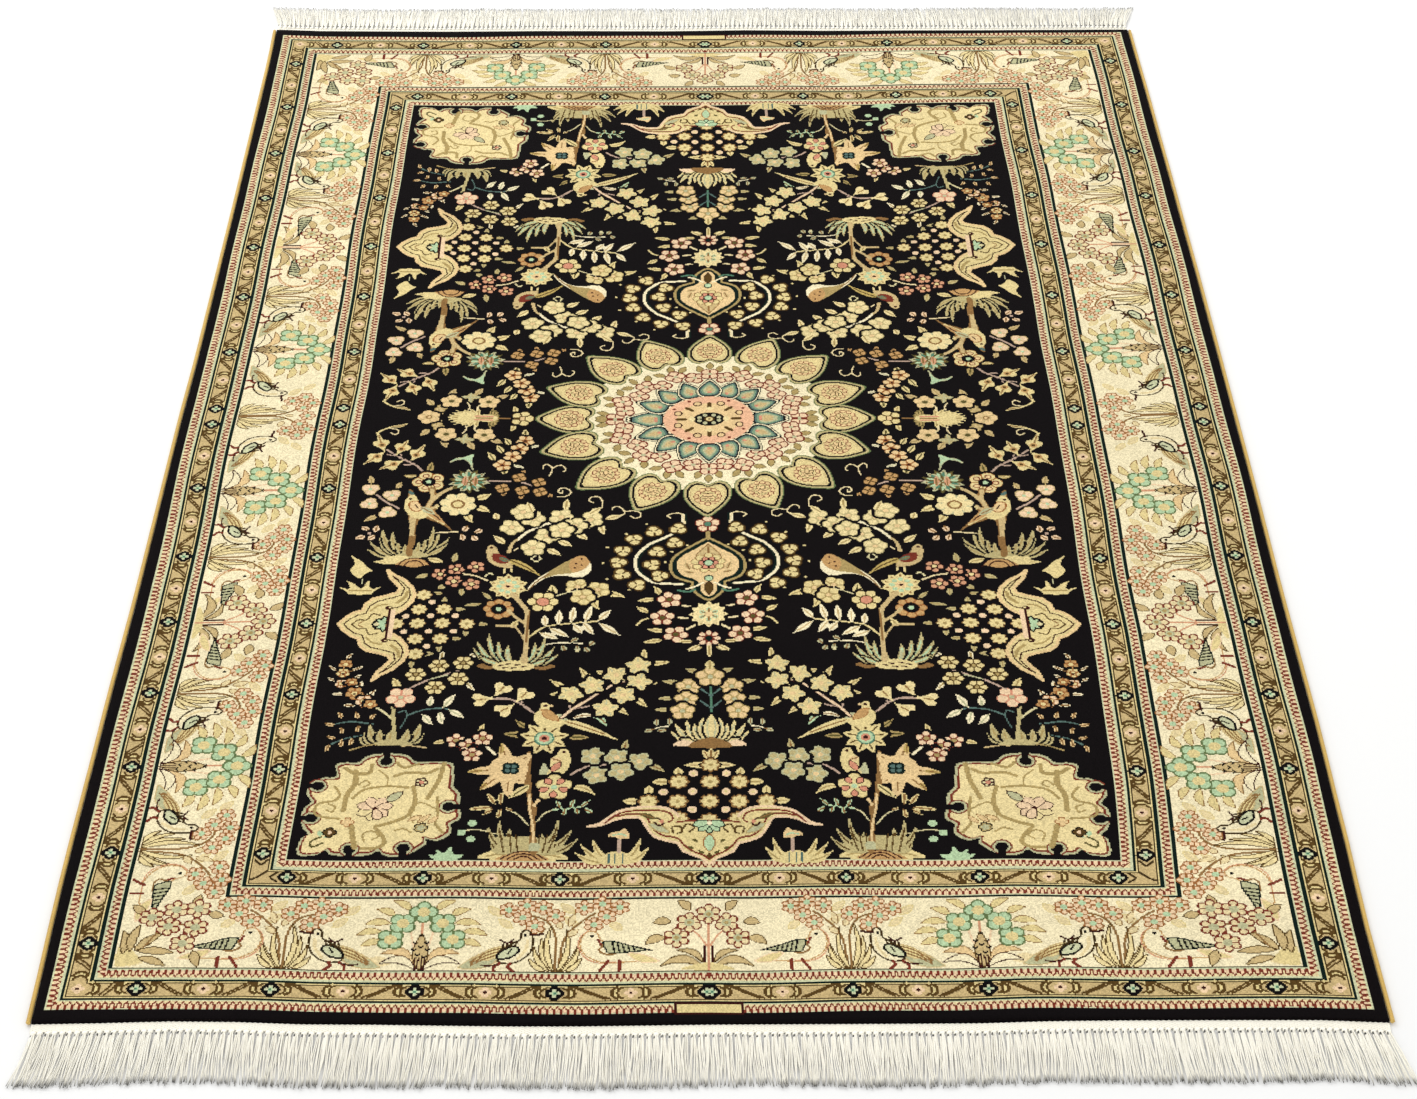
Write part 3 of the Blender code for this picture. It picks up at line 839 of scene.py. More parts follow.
def drawGreenCluster():
    scroll("mauve", 2, 390, 1288, 402, 1279, 422, 1276)
    leaves(here, ((432, 1262, 435, 1246), (450, 1274, 468, 1286), (404, 1262, 396, 1262)), 8, "reed")
    blooms(((407, 1266, 0), (427, 1268, 30), (446, 1273, 10), (411, 1289, 40), (431, 1285, 15)), 12, 5,
        ("reed", "sage", "peach"), 0.22, 0.32, 2.2)


def drawMiddleTree():
    for x, width in ((315, 22), (362, 24)):
        area("bark", x - width / 2, 1153, x, 1147, x + width / 2, 1152, x, 1158)
    tuft(339, 1150, 16, ((303, 1119), (300, 1129), (306, 1139), (313, 1109), (322, 1118), (331, 1124),
        (345, 1124), (354, 1120), (362, 1113), (371, 1126), (375, 1136), (366, 1141)), "reed", "mint", 7.5)
    scroll("sage", 1.6, 332, 1132, 331, 1144)
    scroll("sage", 1.6, 349, 1128, 346, 1144)
    area("straw", 320, 1150, 338, 1144, 354, 1150, 350, 1158, 324, 1159)
    for x, y in ((326, 1152), (332, 1150), (340, 1151), (346, 1153), (330, 1155), (337, 1155)):
        scroll("maroon", 1.1, x - 2, y, x + 2, y - 0.6)
    scroll("cream", 1.3, 364, 1123, 376, 1121, 396, 1122)
    buds(((388, 1117, -40), (403, 1122, -60), (379, 1128, 70), (391, 1129, 80),
        (399, 1130, 60)), "sage", 10, 7)
    speck(391, 1132, 2.4, "white")


def drawMauveTree():
    scroll("teal", 2, 505, 1172, 505, 1216)
    for y in (1190, 1206):
        scroll("slate", 1.4, 496, y - 8, 505, y + 2)
    sprigs(((480, 1175, 463, 1172), (476, 1194, 459, 1195), (473, 1209, 456, 1209), (497, 1162, 483, 1156),
        (500, 1128, 485, 1131)), 7.5, "reed")
    for x, y, radius in ((486, 1180, 12), (484, 1196, 11.5), (481, 1211, 12), (505, 1167, 14)):
        bloom(x, y, radius, 5, ("peach", "khaki", "sage"), 0.18, 0.26, 1.6, -90)
    blade(505, 1158, 505, 1144, 10, "straw", vein="khaki")
    tuft(505, 1250, 14, ((474, 1225), (471, 1236), (478, 1244), (484, 1221), (491, 1226), (498, 1218),
        (505, 1214), (539, 1225)), "straw", "sage", 8)
    area("blush", 472, 1254, 480, 1247, 492, 1251, 488, 1256)
    area("bark", 486, 1256, 494, 1247, 516, 1243, 520, 1258, 494, 1258)
    scroll("cream", 1.2, 470, 1230, 462, 1231, 455, 1235)
    buds(((459, 1225, 90), (470, 1224, 90), (453, 1235, 160), (464, 1235, 170)), "sage", 10, 6.5)


for drawPart in (drawOrangeSpray, drawLeftTuft, drawKhakiSpray, drawHeartBranch, drawPinkCluster,
        drawStarTree, drawUpperBird, drawLilySpray, drawGreenCluster, drawMiddleTree, drawMauveTree):
    drawPart()
drawLowerField()


# the tree beside the side medallion
def drawReedTree():
    area("bark", 231, 1000, 231, 965, 227, 944, 224, 905, 230, 905, 236, 925, 247, 938, 240, 948, 238,
        965, 240, 1000)
    scroll("tan", 5, 233, 996, 233, 962, 232, 940, 229, 912)
    area("bark", 240, 940, 250, 937, 262, 950, 270, 964, 258, 955, 246, 948)
    scroll("straw", 1.6, 246, 942, 262, 955)
    tuft(235, 1002, 14, ((206, 960), (204, 970), (196, 980), (194, 991), (216, 964), (253, 958), (259, 967),
        (269, 974), (268, 984), (222, 980), (247, 976), (229, 984), (241, 980)), "reed", "khaki", 7.5)
    area("reed", 222, 1004, 228, 996, 246, 996, 250, 1004)
    scroll("bark", 5, 234, 999, 234, 975)
    sprigs(((228, 1010, 201, 1009), (250, 1005, 267, 1011)), 9)
    area("straw", 212, 1002, 232, 1002, 230, 1013, 214, 1012)
    area("amber", 222, 1014, 230, 1007, 239, 1005, 248, 1007, 254, 1014, 247, 1017, 240, 1019, 231, 1017)
    for reach in (15, 9):
        scroll("maroon", 1.1, 239 - reach, 1016, 239 - reach * 0.6, 1014 - reach * 0.45,
               239, 1014 - reach * 0.6, 239 + reach * 0.6, 1014 - reach * 0.45, 239 + reach, 1016)
    scroll("shade", 1.6, 256, 968, 277, 966)
    buds(((190, 961, 210), (200, 961, 95), (186, 974, -20), (197, 974, 130), (283, 961, 110),
        (295, 965, -35), (281, 974, 75), (292, 975, 60)), "blush", 12, 8)
    speck(194, 968, 2.6, "mauve")


# an upright bud over a crown of leaves
def drawCrown():
    area("straw", 181, 1000, 189, 1006, 195, 1012, 199, 1018, 203, 1022, 197, 1026, 193, 1033, 187, 1031,
        181, 1022, 184, 1014, 183, 1007)
    scroll("sage", 1.3, 194, 1033, 194, 1041)
    area("straw", 175, 1046, 183, 1047, 180, 1036, 188, 1040, 194, 1046, 200, 1035, 203, 1046, 212, 1045,
        206, 1052, 202, 1056, 184, 1056, 180, 1051)
    scroll("khaki", 1.6, 184, 1050, 194, 1050, 203, 1050)


def drawBerries():
    sprigs(((275, 1012, 277, 996), (255, 1028, 241, 1033), (270, 1042, 262, 1050),
        (284, 1047, 285, 1059)), 8, "reed")
    scroll("shade", 2, 282, 1027, 296, 1030, 310, 1038)
    blooms(((264, 1028, 20), (278, 1021, 0), (296, 1017, 30), (277, 1038, 10), (293, 1042, 40)), 9.8, 5,
        ("salmon", "maroon", "straw"), 0.24, 0.34, 1.4)


def drawStars():
    scroll("straw", 2, 322, 1020, 322, 1030)
    scroll("straw", 1.6, 328, 1020, 329, 1030)
    scroll("white", 1.6, 305, 1030, 308, 1026, 312, 1027)
    star(326, 1044, 19, 10, 11, "straw", turn=18)
    speck(326, 1044, 12, "straw")
    for way in range(0, 360, 45):
        dot(here, around(326, 1044, way, 8), 2.4, "mint")
    rings((326, 1044), 4.5, "peach", 1.8, "maroon")
    sprigs(((303, 1053, 313, 1064), (304, 1069, 287, 1072)), 6.5, "reed")
    bloom(319, 1076, 15, 8, ("amber", "rust", "night"), 0.42, 0.2, 1.2)
    speck(319, 1076, 3.6, "mint")
    scroll("tan", 5, 331, 1056, 340, 1070, 345, 1085, 346, 1146)
    scroll("tan", 3.4, 328, 1078, 336, 1088, 344, 1096)
    scroll("bark", 1.4, 348, 1075, 346, 1090, 346, 1120)
    blade(318, 1100, 331, 1097, 3, "straw")
    blade(332, 1103, 337, 1090, 8, "straw", vein="khaki")
    scroll("tan", 2.4, 344, 1118, 340, 1108, 334, 1100, 318, 1099)
    # bird looking back
    blade(322, 1004, 356, 1030, 9, "mustard", None, -0.05, vein="bronze", fullest=0.3)
    area("tan", 304, 988, 309, 984, 314, 988, 317, 996, 322, 1004, 330, 1015, 328, 1019, 316, 1017, 308,
        1011, 304, 1002)
    area("brick", 311, 997, 322, 1000, 326, 1008, 320, 1012, 311, 1007)
    blade(316, 1003, 327, 1009, 5, "teal")
    speck(309, 989, 1.6, "maroon")


def drawSideMedallion():
    middle = 1096
    upper = [(178, 1096), (184, 1087), (191, 1080), (198, 1077), (200, 1068), (206, 1061), (218, 1057),
        (227, 1053), (229, 1047), (224, 1039), (219, 1032), (216, 1021), (222, 1028), (232, 1035),
        (240, 1046), (243, 1056), (241, 1066), (234, 1077), (224, 1085)]
    outline = upper + [(x, 2 * middle - y) for x, y in reversed(upper)]
    patch(here, outline, "straw")
    stroke(outline + outline[:1], "peach", 3)
    inner = [(183, 1096), (188, 1089), (194, 1084), (201, 1081), (204, 1071), (210, 1065), (221, 1061),
        (231, 1057), (233, 1047), (226, 1036), (221, 1030), (230, 1038), (237, 1048), (239, 1057),
        (237, 1065), (231, 1073), (222, 1075)]
    inner += [(x, 2 * middle - y) for x, y in reversed(inner)]
    stroke(inner + inner[:1], "maroon", 1.3)
    for way in (-1, 1):
        scroll("khaki", 2.6, 236, middle + way * 44, 234, middle + way * 36, 228, middle + way * 29)
        scroll("khaki", 1.6, 205, middle + way * 18, 211, middle + way * 25, 219, middle + way * 27)
        scroll("bronze", 1.1, 190, middle, 196, middle + way * 6, 203, middle + way * 6,
            207, middle + way * 14, 214, middle + way * 12)
        scroll("bark", 1.1, 196, middle + way, 200, middle + way * 4)
        speck(221, middle + way * 22, 3, "maroon")
        speck(222, middle + way * 22, 1.4, "straw")
    speck(215, middle, 7.5, "night")
    for way in range(-72, 73, 36):
        leaf(here, (221, middle), around(222, middle, way, -14, 12), 8.5, "night")
    for way in range(-72, 73, 36):
        leaf(here, (219, middle), around(221.5, middle, way, -11, 10), 3.6, "mint")
    speck(212, middle, 2.4, "white")
    stroke([(225.5, middle - 18), (225.5, middle + 18)], "blush", 4)
    stroke([(222, middle - 21), (222, middle + 21)], "maroon", 1.3)


def drawSideLattice():
    sprigs(((258, 1055, 269, 1055), (270, 1070, 270, 1059), (278, 1077, 290, 1077), (300, 1097, 312, 1097),
        (292, 1103, 292, 1115), (278, 1117, 290, 1117), (270, 1124, 270, 1136), (256, 1137, 267, 1137),
        (248, 1145, 248, 1156)), 7, "reed")
    for x, y in ((229, 1096), (251, 1057), (248, 1077), (270, 1077), (248, 1096), (270, 1096), (292, 1097),
            (248, 1117), (270, 1117), (250, 1137)):
        latticeFlower(x, y, 8.5)
    for x, y in ((259, 1067), (237, 1086), (259, 1086), (281, 1086), (237, 1107), (259, 1107),
            (281, 1107), (259, 1127)):
        rings((x, y), 4.2, "sage", 3.2, "blush")


def drawPaleCluster():
    scroll("cream", 3.6, 331, 978, 340, 966, 352, 956, 366, 948)
    scroll("tan", 3, 325, 995, 327, 984, 331, 976)
    scroll("shade", 1.4, 330, 992, 338, 984)
    sprigs(((406, 950, 411, 969), (384, 963, 397, 977), (368, 976, 383, 986), (358, 988, 373, 999),
        (410, 946, 427, 938), (312, 948, 309, 936), (322, 984, 309, 970)), 9, "lemon")
    blooms(((326, 958, 20), (345, 945, 0), (335, 935, 40), (371, 942, 10), (398, 946, 30), (384, 955, 0),
        (359, 970, 15), (347, 988, 45), (372, 962, 60)), 13, 5, ("lemon", "reed", "peach"), 0.2, 0.26, 1.6)
    scroll("white", 1.6, 353, 1000, 354, 1005, 350, 1008, 346, 1004, 349, 1000)


def drawBrownBird():
    area("cream", 374, 1010, 382, 1003, 391, 998, 397, 1003, 401, 1014, 399, 1024, 389, 1032, 376, 1029, 362,
        1031, 352, 1040, 344, 1050, 346, 1040, 357, 1026)
    area("khaki", 374, 1011, 382, 1004, 391, 999, 397, 1004, 398, 1011, 393, 1019, 384, 1024, 368, 1027, 358,
        1031, 362, 1023)
    area("amber", 382, 1005, 391, 999, 397, 1004, 398, 1011, 393, 1019, 384, 1023, 380, 1015)
    scroll("bark", 1.2, 362, 1026, 352, 1036, 345, 1048)
    for x, y in ((386, 1011), (391, 1013), (385, 1017), (391, 1004)):
        speck(x, y, 1.2, "maroon")


def drawTanCluster():
    blade(367, 1057, 365, 1040, 10, "straw", vein="olive")
    bloom(358, 1065, 15, 6, ("straw", "bronze", "rose"), 0.36, 0.26, 1)
    sprigs(((408, 1049, 432, 1059), (399, 1056, 408, 1077)), 9)
    blooms(((388, 1044, 0), (406, 1048, 30), (393, 1058, 10)), 12.5, 5, ("straw", "khaki", "peach"),
        0.2, 0.24, 1.2)
    scroll("white", 1.6, 370, 1056, 380, 1052, 388, 1048)
    for x, y in ((383, 1049), (394, 1046)):
        speck(x, y, 1.3, "maroon")


def drawLeafSprig():
    scroll("straw", 1.8, 349, 1114, 356, 1104, 366, 1098, 388, 1094, 408, 1092)
    leaves(here, ((362, 1099, 360, 1083), (373, 1096, 373, 1076), (384, 1094, 386, 1071),
        (396, 1093, 401, 1070), (407, 1092, 419, 1075), (364, 1100, 384, 1114), (385, 1095, 396, 1110),
        (394, 1093, 405, 1111), (408, 1094, 428, 1112), (356, 1107, 375, 1116)), 9, "cream", vein="tan")


# a half outline on the rug's middle line, with its other half
def mirrored(outline):
    return outline + [(2 * middleX - x, y) for x, y in reversed(outline[:-1])]


def drawPendant():
    wreath = [(482, 938), (482, 950), (477, 962), (466, 972), (452, 982), (442, 996), (439, 1008),
        (441, 1021), (448, 1031), (458, 1038), (481, 1040)]
    draw(here, [(x + 2.4, y) for x, y in wreath], "pine", 2.6)
    draw(here, wreath, "cream", 2.4)
    for x, y, way in ((456, 963, 100), (478, 959, 80), (438, 975, 40), (428, 992, 30), (424, 1009, 10),
            (427, 1026, -10), (441, 1041, -60), (475, 980, 220), (459, 993, 200), (454, 1012, 170),
            (461, 1028, 130)):
        bloom(x, y, 9.2, 3, ("straw", "bronze", None), 0.2, 0.3, 1.4, -way)
    for x, y in ((449, 952), (431, 967), (414, 987), (410, 1010), (414, 1033), (434, 1048), (486, 984),
            (472, 993), (466, 1008)):
        speck(x, y, 1.3, "straw")
    outline = [(505, 973), (491, 984), (478, 996), (472, 1006), (471, 1019), (475, 1029), (484, 1035),
        (490, 1038), (490, 1046), (496, 1056), (505, 1063)]
    outline = mirrored(outline)
    patch(here, outline, "pine")
    stroke(smooth(outline, True, 12), "khaki", 2.6)
    shape = [(505, 979), (494, 989), (483, 998), (477, 1007), (477, 1018), (482, 1028), (492, 1033),
        (497, 1041), (498, 1051), (505, 1058)]
    patch(here, mirrored(shape), "peach")
    shape = [(505, 983), (498, 992), (494, 1000), (505, 1003)]
    patch(here, mirrored(shape), "tan", "bark", 0.9)
    scroll("bark", 0.9, 505, 986, 505, 1000)
    for way in range(30, 391, 40):
        rings(around(505, 1010, way, 12, 10), 4.6, "bark", 3.7, "straw")
    for way in range(0, 360, 60):
        rings(around(505, 1010, way, 6.5), 3.4, "maroon", 2.6, "rose")
    rings((505, 1010), 5, "night", 3.8, "mint")
    leaves(here, ((488, 1020, 484, 1008), (492, 1024, 482, 1022)), 5, "tan")
    rings((505, 1032), 4.6, "pine", 3.4, "mint")
    blade(505, 1037, 505, 1055, 8, "bronze", "maroon", lineWidth=0.9)
    scroll("cream", 1.6, 485, 1047, 492, 1044, 500, 1038)
    scroll("teal", 2, 478, 1049, 487, 1051, 492, 1048)
    scroll("khaki", 4, 505, 962, 505, 974)
    bloom(505, 953, 12.5, 5, ("blush", "brick", "teal"), 0.28, 0.3, 1, -90)


def drawPinkChain():
    sprigs(((463, 1057, 456, 1042), (460, 1060, 441, 1064), (453, 1081, 440, 1071), (468, 1106, 450, 1103),
        (466, 1117, 447, 1121)), 8)
    scroll("straw", 1.6, 451, 1088, 446, 1091, 442, 1097)
    for points in ((478, 1070, 490, 1072), (476, 1087, 488, 1088), (486, 1103, 494, 1097)):
        scroll("shade", 2, *points)
    blooms(((470, 1062, -30), (464, 1087, -90), (476, 1110, 10)), 12.5, 5, ("blush", "brick", "olive"),
        0.22, 0.34, 1.3)
    star(505, 1083, 19, 12, 9.5, "lemon", turn=0)
    speck(505, 1083, 14, "lemon")
    for way in range(30, 391, 60):
        leaf(here, around(505, 1083, way, 3), around(505, 1083, way, 10), 4.5, "mint", fullest=0.6)
    speck(505, 1083, 3.4, "peach")
    bloom(505, 1116, 12, 8, ("blush", "brick", "pine"), 0.3, 0.3, 1.1, -90)
    sprigs(((505, 1124, 505, 1142), (492, 1120, 478, 1120), (497, 1124, 486, 1134)), 7, "lemon")


for drawPart in (drawReedTree, drawCrown, drawBerries, drawStars, drawSideLattice, drawPaleCluster,
        drawBrownBird, drawTanCluster, drawLeafSprig, drawPinkChain):
    drawPart()


def drawCurls():
    for points in ((350, 868, 350, 863, 354, 861, 358, 866, 358, 872, 356, 879), (358, 868, 363, 863,
            368, 863, 371, 869, 369, 872), (370, 902, 369, 906, 366, 904, 367, 899, 372, 898, 377, 902,
            377, 907, 372, 911, 366, 911), (399, 920, 395, 917, 397, 912, 403, 911, 407, 916, 408, 928),
            (417, 931, 418, 927, 423, 926, 429, 935, 422, 943), (430, 933, 437, 932, 443, 935, 443, 941,
            438, 943, 434, 940), (471, 943, 468, 939, 473, 936, 480, 936, 483, 941, 484, 951), (190, 774,
            191, 778, 197, 779, 199, 773, 199, 764), (200, 806, 206, 808, 208, 812, 205, 816, 201, 813),
            (272, 801, 273, 806, 270, 813), (281, 800, 281, 806, 284, 811)):
        scroll("shade", 1.15, *points)


def drawHeartTree():
    scroll("mauve", 2, 200, 841, 213, 853, 228, 864, 235, 873)
    scroll("mauve", 1.4, 200, 848, 208, 850)
    scroll("mauve", 1.4, 213, 846, 215, 855)
    scroll("mauve", 1.4, 217, 864, 226, 864)
    for x, y, tipX, tipY in ((194, 833, 188, 813), (213, 839, 219, 824), (228, 849, 236, 830),
            (191, 851, 179, 864), (208, 863, 193, 872)):
        way = math.degrees(math.atan2(tipY - y, tipX - x))
        heartLeaf(x, y, 1.32, way, "straw")
        blade(x, y, tipX, tipY, 8, "straw", fullest=0.2)
        rings((x, y), 3.6, "amber", 1.8, "bronze")
    blade(199, 803, 217, 798, 6, "straw", bend=0.1)
    scroll("straw", 2.4, 188, 814, 192, 809, 200, 804)


def drawBranchTree():
    blade(242, 879, 244, 859, 9, "khaki", None, 0, "olive")
    blade(236, 884, 217, 881, 8, "khaki", None, 0, "straw")
    bloom(243, 891, 17, 5, ("straw", "rust", None), 0.1, 0.26, 1.2, -110)
    for way in range(-110, 179, 72):
        rings(around(243, 891, way, 9.5), 3.4, "brick", 2.4, "peach")
    rings((243, 891), 5.6, "night", 3.8, "mint")
    scroll("bark", 6, 247, 903, 249, 915, 245, 930, 250, 934)
    scroll("tan", 3.2, 247, 903, 248, 916, 245, 930)
    scroll("tan", 4.4, 250, 918, 258, 906, 269, 898)
    scroll("tan", 3, 249, 932, 257, 922)
    # green spiked flower
    scroll("mauve", 2, 298, 888, 322, 888, 337, 892, 348, 899)
    spikes = [petal * 360 / 14 + 8 for petal in range(14)]
    for way, dye in zip(spikes, ("sage", "olive") * 7):
        leaf(here, (281, 889), around(281, 889, way, 21, 20), 7.5, dye, fullest=0.6)
    for way, dye in zip(spikes, ("teal", "mint") * 7):
        leaf(here, around(281, 889, way, 7), around(281, 889, way, 15), 3.2, dye)
    for x in (277, 287):
        blade(x, 897, x, 880, 5, "salmon")
    area("mint", 261, 860, 265, 854, 272, 852, 283, 846, 282, 856, 283, 871, 280, 862, 275, 856, 268, 856,
        line="sage", width=1)
    for x, y, tipX, tipY in ((328, 882, 333, 870), (313, 899, 315, 912), (332, 902, 331, 916),
            (347, 889, 353, 893), (349, 904, 362, 911)):
        blade(x, y, tipX, tipY, 7, "amber")
        bloom(x, y, 8.2, 4, ("amber", "bronze", None), 0.15, 0.25, 1.2, 20)
    # flower with a ring centre
    sprigs(((288, 918, 304, 908), (287, 926, 305, 936), (280, 936, 289, 953), (262, 930, 252, 930)), 10)
    bloom(273, 925, 18.5, 8, ("lemon", "sage", None), 0.1, 0.2, 1, 12)
    rings((273, 925), 11, "lemon", 7, "bark", 4.6, "straw")


def drawMauveLeaves():
    scroll("mauve", 1.8, 191, 905, 205, 921, 218, 931)
    sprigs(((190, 896, 187, 880), (213, 902, 218, 890), (201, 940, 186, 951)), 8, "tan")
    for x, y, turn in ((189, 902, 90), (210, 911, 80), (190, 924, 40), (208, 937, 20)):
        bloom(x, y, 10, 3, ("blush", "tan", None), 0.15, 0.3, 1.6, turn)
        speck(x, y, 1.8, "mint")
    blade(225, 904, 231, 913, 4, "slate")
    blade(240, 928, 264, 955, 8, "amber", vein="maroon")
    area("straw", 222, 920, 226, 913, 231, 911, 235, 916, 239, 928, 246, 940, 242, 948, 232, 944, 223, 934)
    area("peach", 228, 922, 235, 921, 240, 932, 234, 936, 228, 930, line="rust", width=1.1)
    blade(238, 929, 253, 941, 7, "sage")
    speck(228, 917, 1.6, "maroon")
    scroll("maroon", 1.2, 233, 926, 236, 931)


def drawPeachTree():
    sprigs(((238, 806, 229, 819), (252, 822, 256, 838), (296, 821, 310, 828), (276, 826, 283, 840),
        (242, 793, 249, 800), (231, 786, 221, 786)), 9, "tan")
    bloom(235, 787, 12.5, 5, ("peach", "tan", "bark"), 0.26, 0.2, 1, 180)
    speck(235, 787, 1.6, "peach")
    bloom(245, 802, 7.5, 4, ("tan", "khaki", None), 0.36, 0.3, 1.6, 20)
    for x in (254, 291):
        bloom(x, 815, 12, 5, ("peach", "tan", "olive"), 0.22, 0.26, 1, -54)
    for x, y in ((266, 823), (273, 816), (279, 823), (272, 828)):
        leaf(here, (272, 822), (x + (x - 272) * 0.6, y + (y - 822) * 0.6), 7, "reed", None, 0, "sage")
    # tassel flower lying on its side
    for way in range(-80, 81, 20):
        leaf(here, around(294, 787, way, 2, 0), around(294, 787, way, 12, 18), 6, "khaki", None, 0, "olive")
    for way in range(90, 271, 15):
        leaf(here, (282, 787), around(282, 787, way, 31, 17), 7, "straw", None, 0, "khaki", fullest=0.5)
    blade(278, 787, 304, 787, 14, "straw")
    for y in (784, 790):
        scroll("rose", 1.3, 280, y, 297, y)
    scroll("bark", 1.6, 303, 787, 316, 787)
    sprigs(((321, 779, 314, 767), (320, 796, 316, 809)), 8)
    bloom(326, 788, 12.5, 5, ("straw", "bronze", "peach"), 0.2, 0.28, 1.2)


def drawPeachChain():
    leaves(here, ((331, 820, 330, 804), (318, 832, 311, 819), (311, 845, 304, 830), (304, 857, 296, 842),
        (313, 868, 314, 878)), 8.5, "straw", vein="olive")
    leaves(here, ((335, 834, 346, 831), (320, 862, 333, 867)), 6, "cream", vein="sage")
    blooms(((331, 824, 20), (326, 837, 60), (320, 849, 10), (311, 863, 40)), 10, 5,
        ("peach", "rust", "maroon"), 0.15, 0.3, 0.9)


# one heart from its tip to the notch between its lobes
def heart(tip, notch):
    half = 21
    length = math.hypot(notch[0] - tip[0], notch[1] - tip[1])
    turn = math.degrees(math.atan2(notch[1] - tip[1], notch[0] - tip[0]))

    def local(points):
        cosine, sine = around(0, 0, turn, 1)
        return [(tip[0] + s * cosine - t * sine, tip[1] + s * sine + t * cosine) for s, t in points]

    centre = length * 0.62
    outline = ((0, 0), (0.16, 0.4), (0.38, 0.76), (0.62, 0.97), (0.86, 0.97), (1.05, 0.74),
        (1.09, 0.4), (1, 0.06))
    for inset, dye in ((1.12, "leek"), (1.07, "reed"), (0.97, "night"), (0.86, "straw"), (0.8, "tan"),
            (0.77, "straw")):
        side = [(centre + (s * length - centre) * inset, t * half * inset) for s, t in outline]
        fill(smooth(local(side + [(s, -t) for s, t in reversed(side[1:])]), True, 8), dye)
    for way in range(0, 360, 30):
        petal = around(centre, 0, way, 8.5), around(centre, 0, way, 13.5, 13)
        leaf(local, *petal, 5.2, "peach", "brick", lineWidth=0.9, fullest=0.6)
    for way in range(15, 360, 60):
        leaf(local, (centre, 0), around(centre, 0, way, 7), 4.2, "peach", "bronze", lineWidth=0.9)


def drawMedallion():
    oval(505, 789, 122, 113, "cream")
    for tip, notch in (((342, 788), (389, 788)), ((349, 841), (396, 827)), ((385, 897), (423, 864)),
            ((440, 929), (461, 886)), ((505, 939), (505, 894))):
        heart(tip, notch)
    for x, y, way in ((403, 779, 200), (402, 789, 180), (403, 797, 160), (410, 812, 195), (408, 823, 160),
            (418, 834, 110), (425, 842, 195), (430, 854, 130), (444, 860, 90), (455, 866, 170),
            (466, 876, 100), (478, 876, 60), (495, 877, 110), (505, 883, 90)):
        dx, dy = around(0, 0, way, 6)
        blade(x - dx, y - dy, x + dx, y + dy, 6.6, "khaki", "olive", lineWidth=1)
    for x, y, radius in ((415, 788, 9.5), (424, 777, 9.5), (424, 802, 9.5), (421, 818, 10), (437, 829, 9.5),
            (443, 845, 10), (459, 847, 9), (471, 863, 10), (490, 861, 9.5), (505, 868, 9.5)):
        way = math.degrees(math.atan2(y - 789, x - 505))
        flower(here, (x, y), radius + 1.2, 4, "blush", "brick", "sage", turn=-way + 45, heartShare=0.2,
            depth=0.3, width=1.45)
    oval(505, 789, 57, 54, "cream")
    for step, (outer, inner, half) in enumerate(((76, 44, 10), (73, 44, 10.5), (70, 42, 10.5),
            (67, 39, 10.5), (66.5, 39, 10.5))):
        cosine, sine = around(0, 0, 180 - 22.5 * step, 1)
        length = outer - inner
        for inset, dye in ((1.26, "pine"), (1.16, "cream"), (1.04, "night"), (0.9, "slate"), (0.76, "moss"),
                (0.58, "sage"), (0.36, "tan")):
            side = [(1, 0), (0.72, 0.62), (0.42, 1), (0.14, 0.9), (0, 0.42)]
            side += [(s, -t) for s, t in reversed(side[1:])]
            shape = [(inner + length * (0.45 + (s - 0.45) * inset), half * t * inset) for s, t in side]
            shape = [(505 + s * cosine - t * sine, 789 + s * sine + t * cosine) for s, t in shape]
            fill(smooth(shape, True, 6), dye)
        speck(505 + (inner + 7) * cosine, 789 + (inner + 7) * sine, 2, "rose")
    oval(505, 787, 44, 40, "clay")
    oval(505, 787, 31, 28, "peach")
    for way in range(90, 271, 45):
        draw(here, [around(505, 787, -way, 23, 21), around(505, 787, -way, 31, 28)], "bronze", 3)
    for way in (90 - 21, 90 + 21, 180 - 21, 180 + 21):
        x, y = around(505, 787, way, 32, 29)
        rings((x, y), 4.4, "maroon", 3, "peach")
    for way in (90 - 30, 90 + 30, 180 - 30, 180 + 30):
        x, y = around(505, 787, way, 39, 36)
        speck(x, y, 1.8, "brick")
    oval(505, 787, 15.5, 11.5, "night", 20, 3)
    for petal in range(8):
        dot(here, around(505, 787, 22.5 + petal * 45, 10.4, 7.2), 2.4, "sage")
    rings((505, 787), 5, "bronze", 3.6, "straw", 1.6, "maroon")
    for points in (((505, 802), (501, 806), (505, 809), (509, 806)),
            ((492, 787), (488, 785), (485, 787), (488, 793))):
        fill(points, "lemon")


# the pale blossoms above have these leaves
sprigs(((344, 936, 338, 919), (374, 932, 375, 914), (396, 938, 408, 926)), 9, "lemon")
for drawPart in (drawHeartTree, drawBranchTree, drawMauveLeaves, drawPeachTree, drawPeachChain):
    drawPart()


# the little panel in the middle of each end is plain
def drawEndPanel():
    fill([(478, 1537.5), (512, 1537.5), (512, 1549.5), (478, 1549.5)], "maroon")
    fill([(479.4, 1539), (512, 1539), (512, 1548), (479.4, 1548)], "straw")


trimEdges()
for drawPart in (drawVase, drawSideMedallion, drawPendant, drawMedallion, drawCurls, drawCartouche,
        drawEndPanel):
    drawPart()
half = np.concatenate([quarter, quarter[::-1]])
chart = np.concatenate([half, half[:, ::-1]], 1)
print("pattern drawn:", chart.shape)


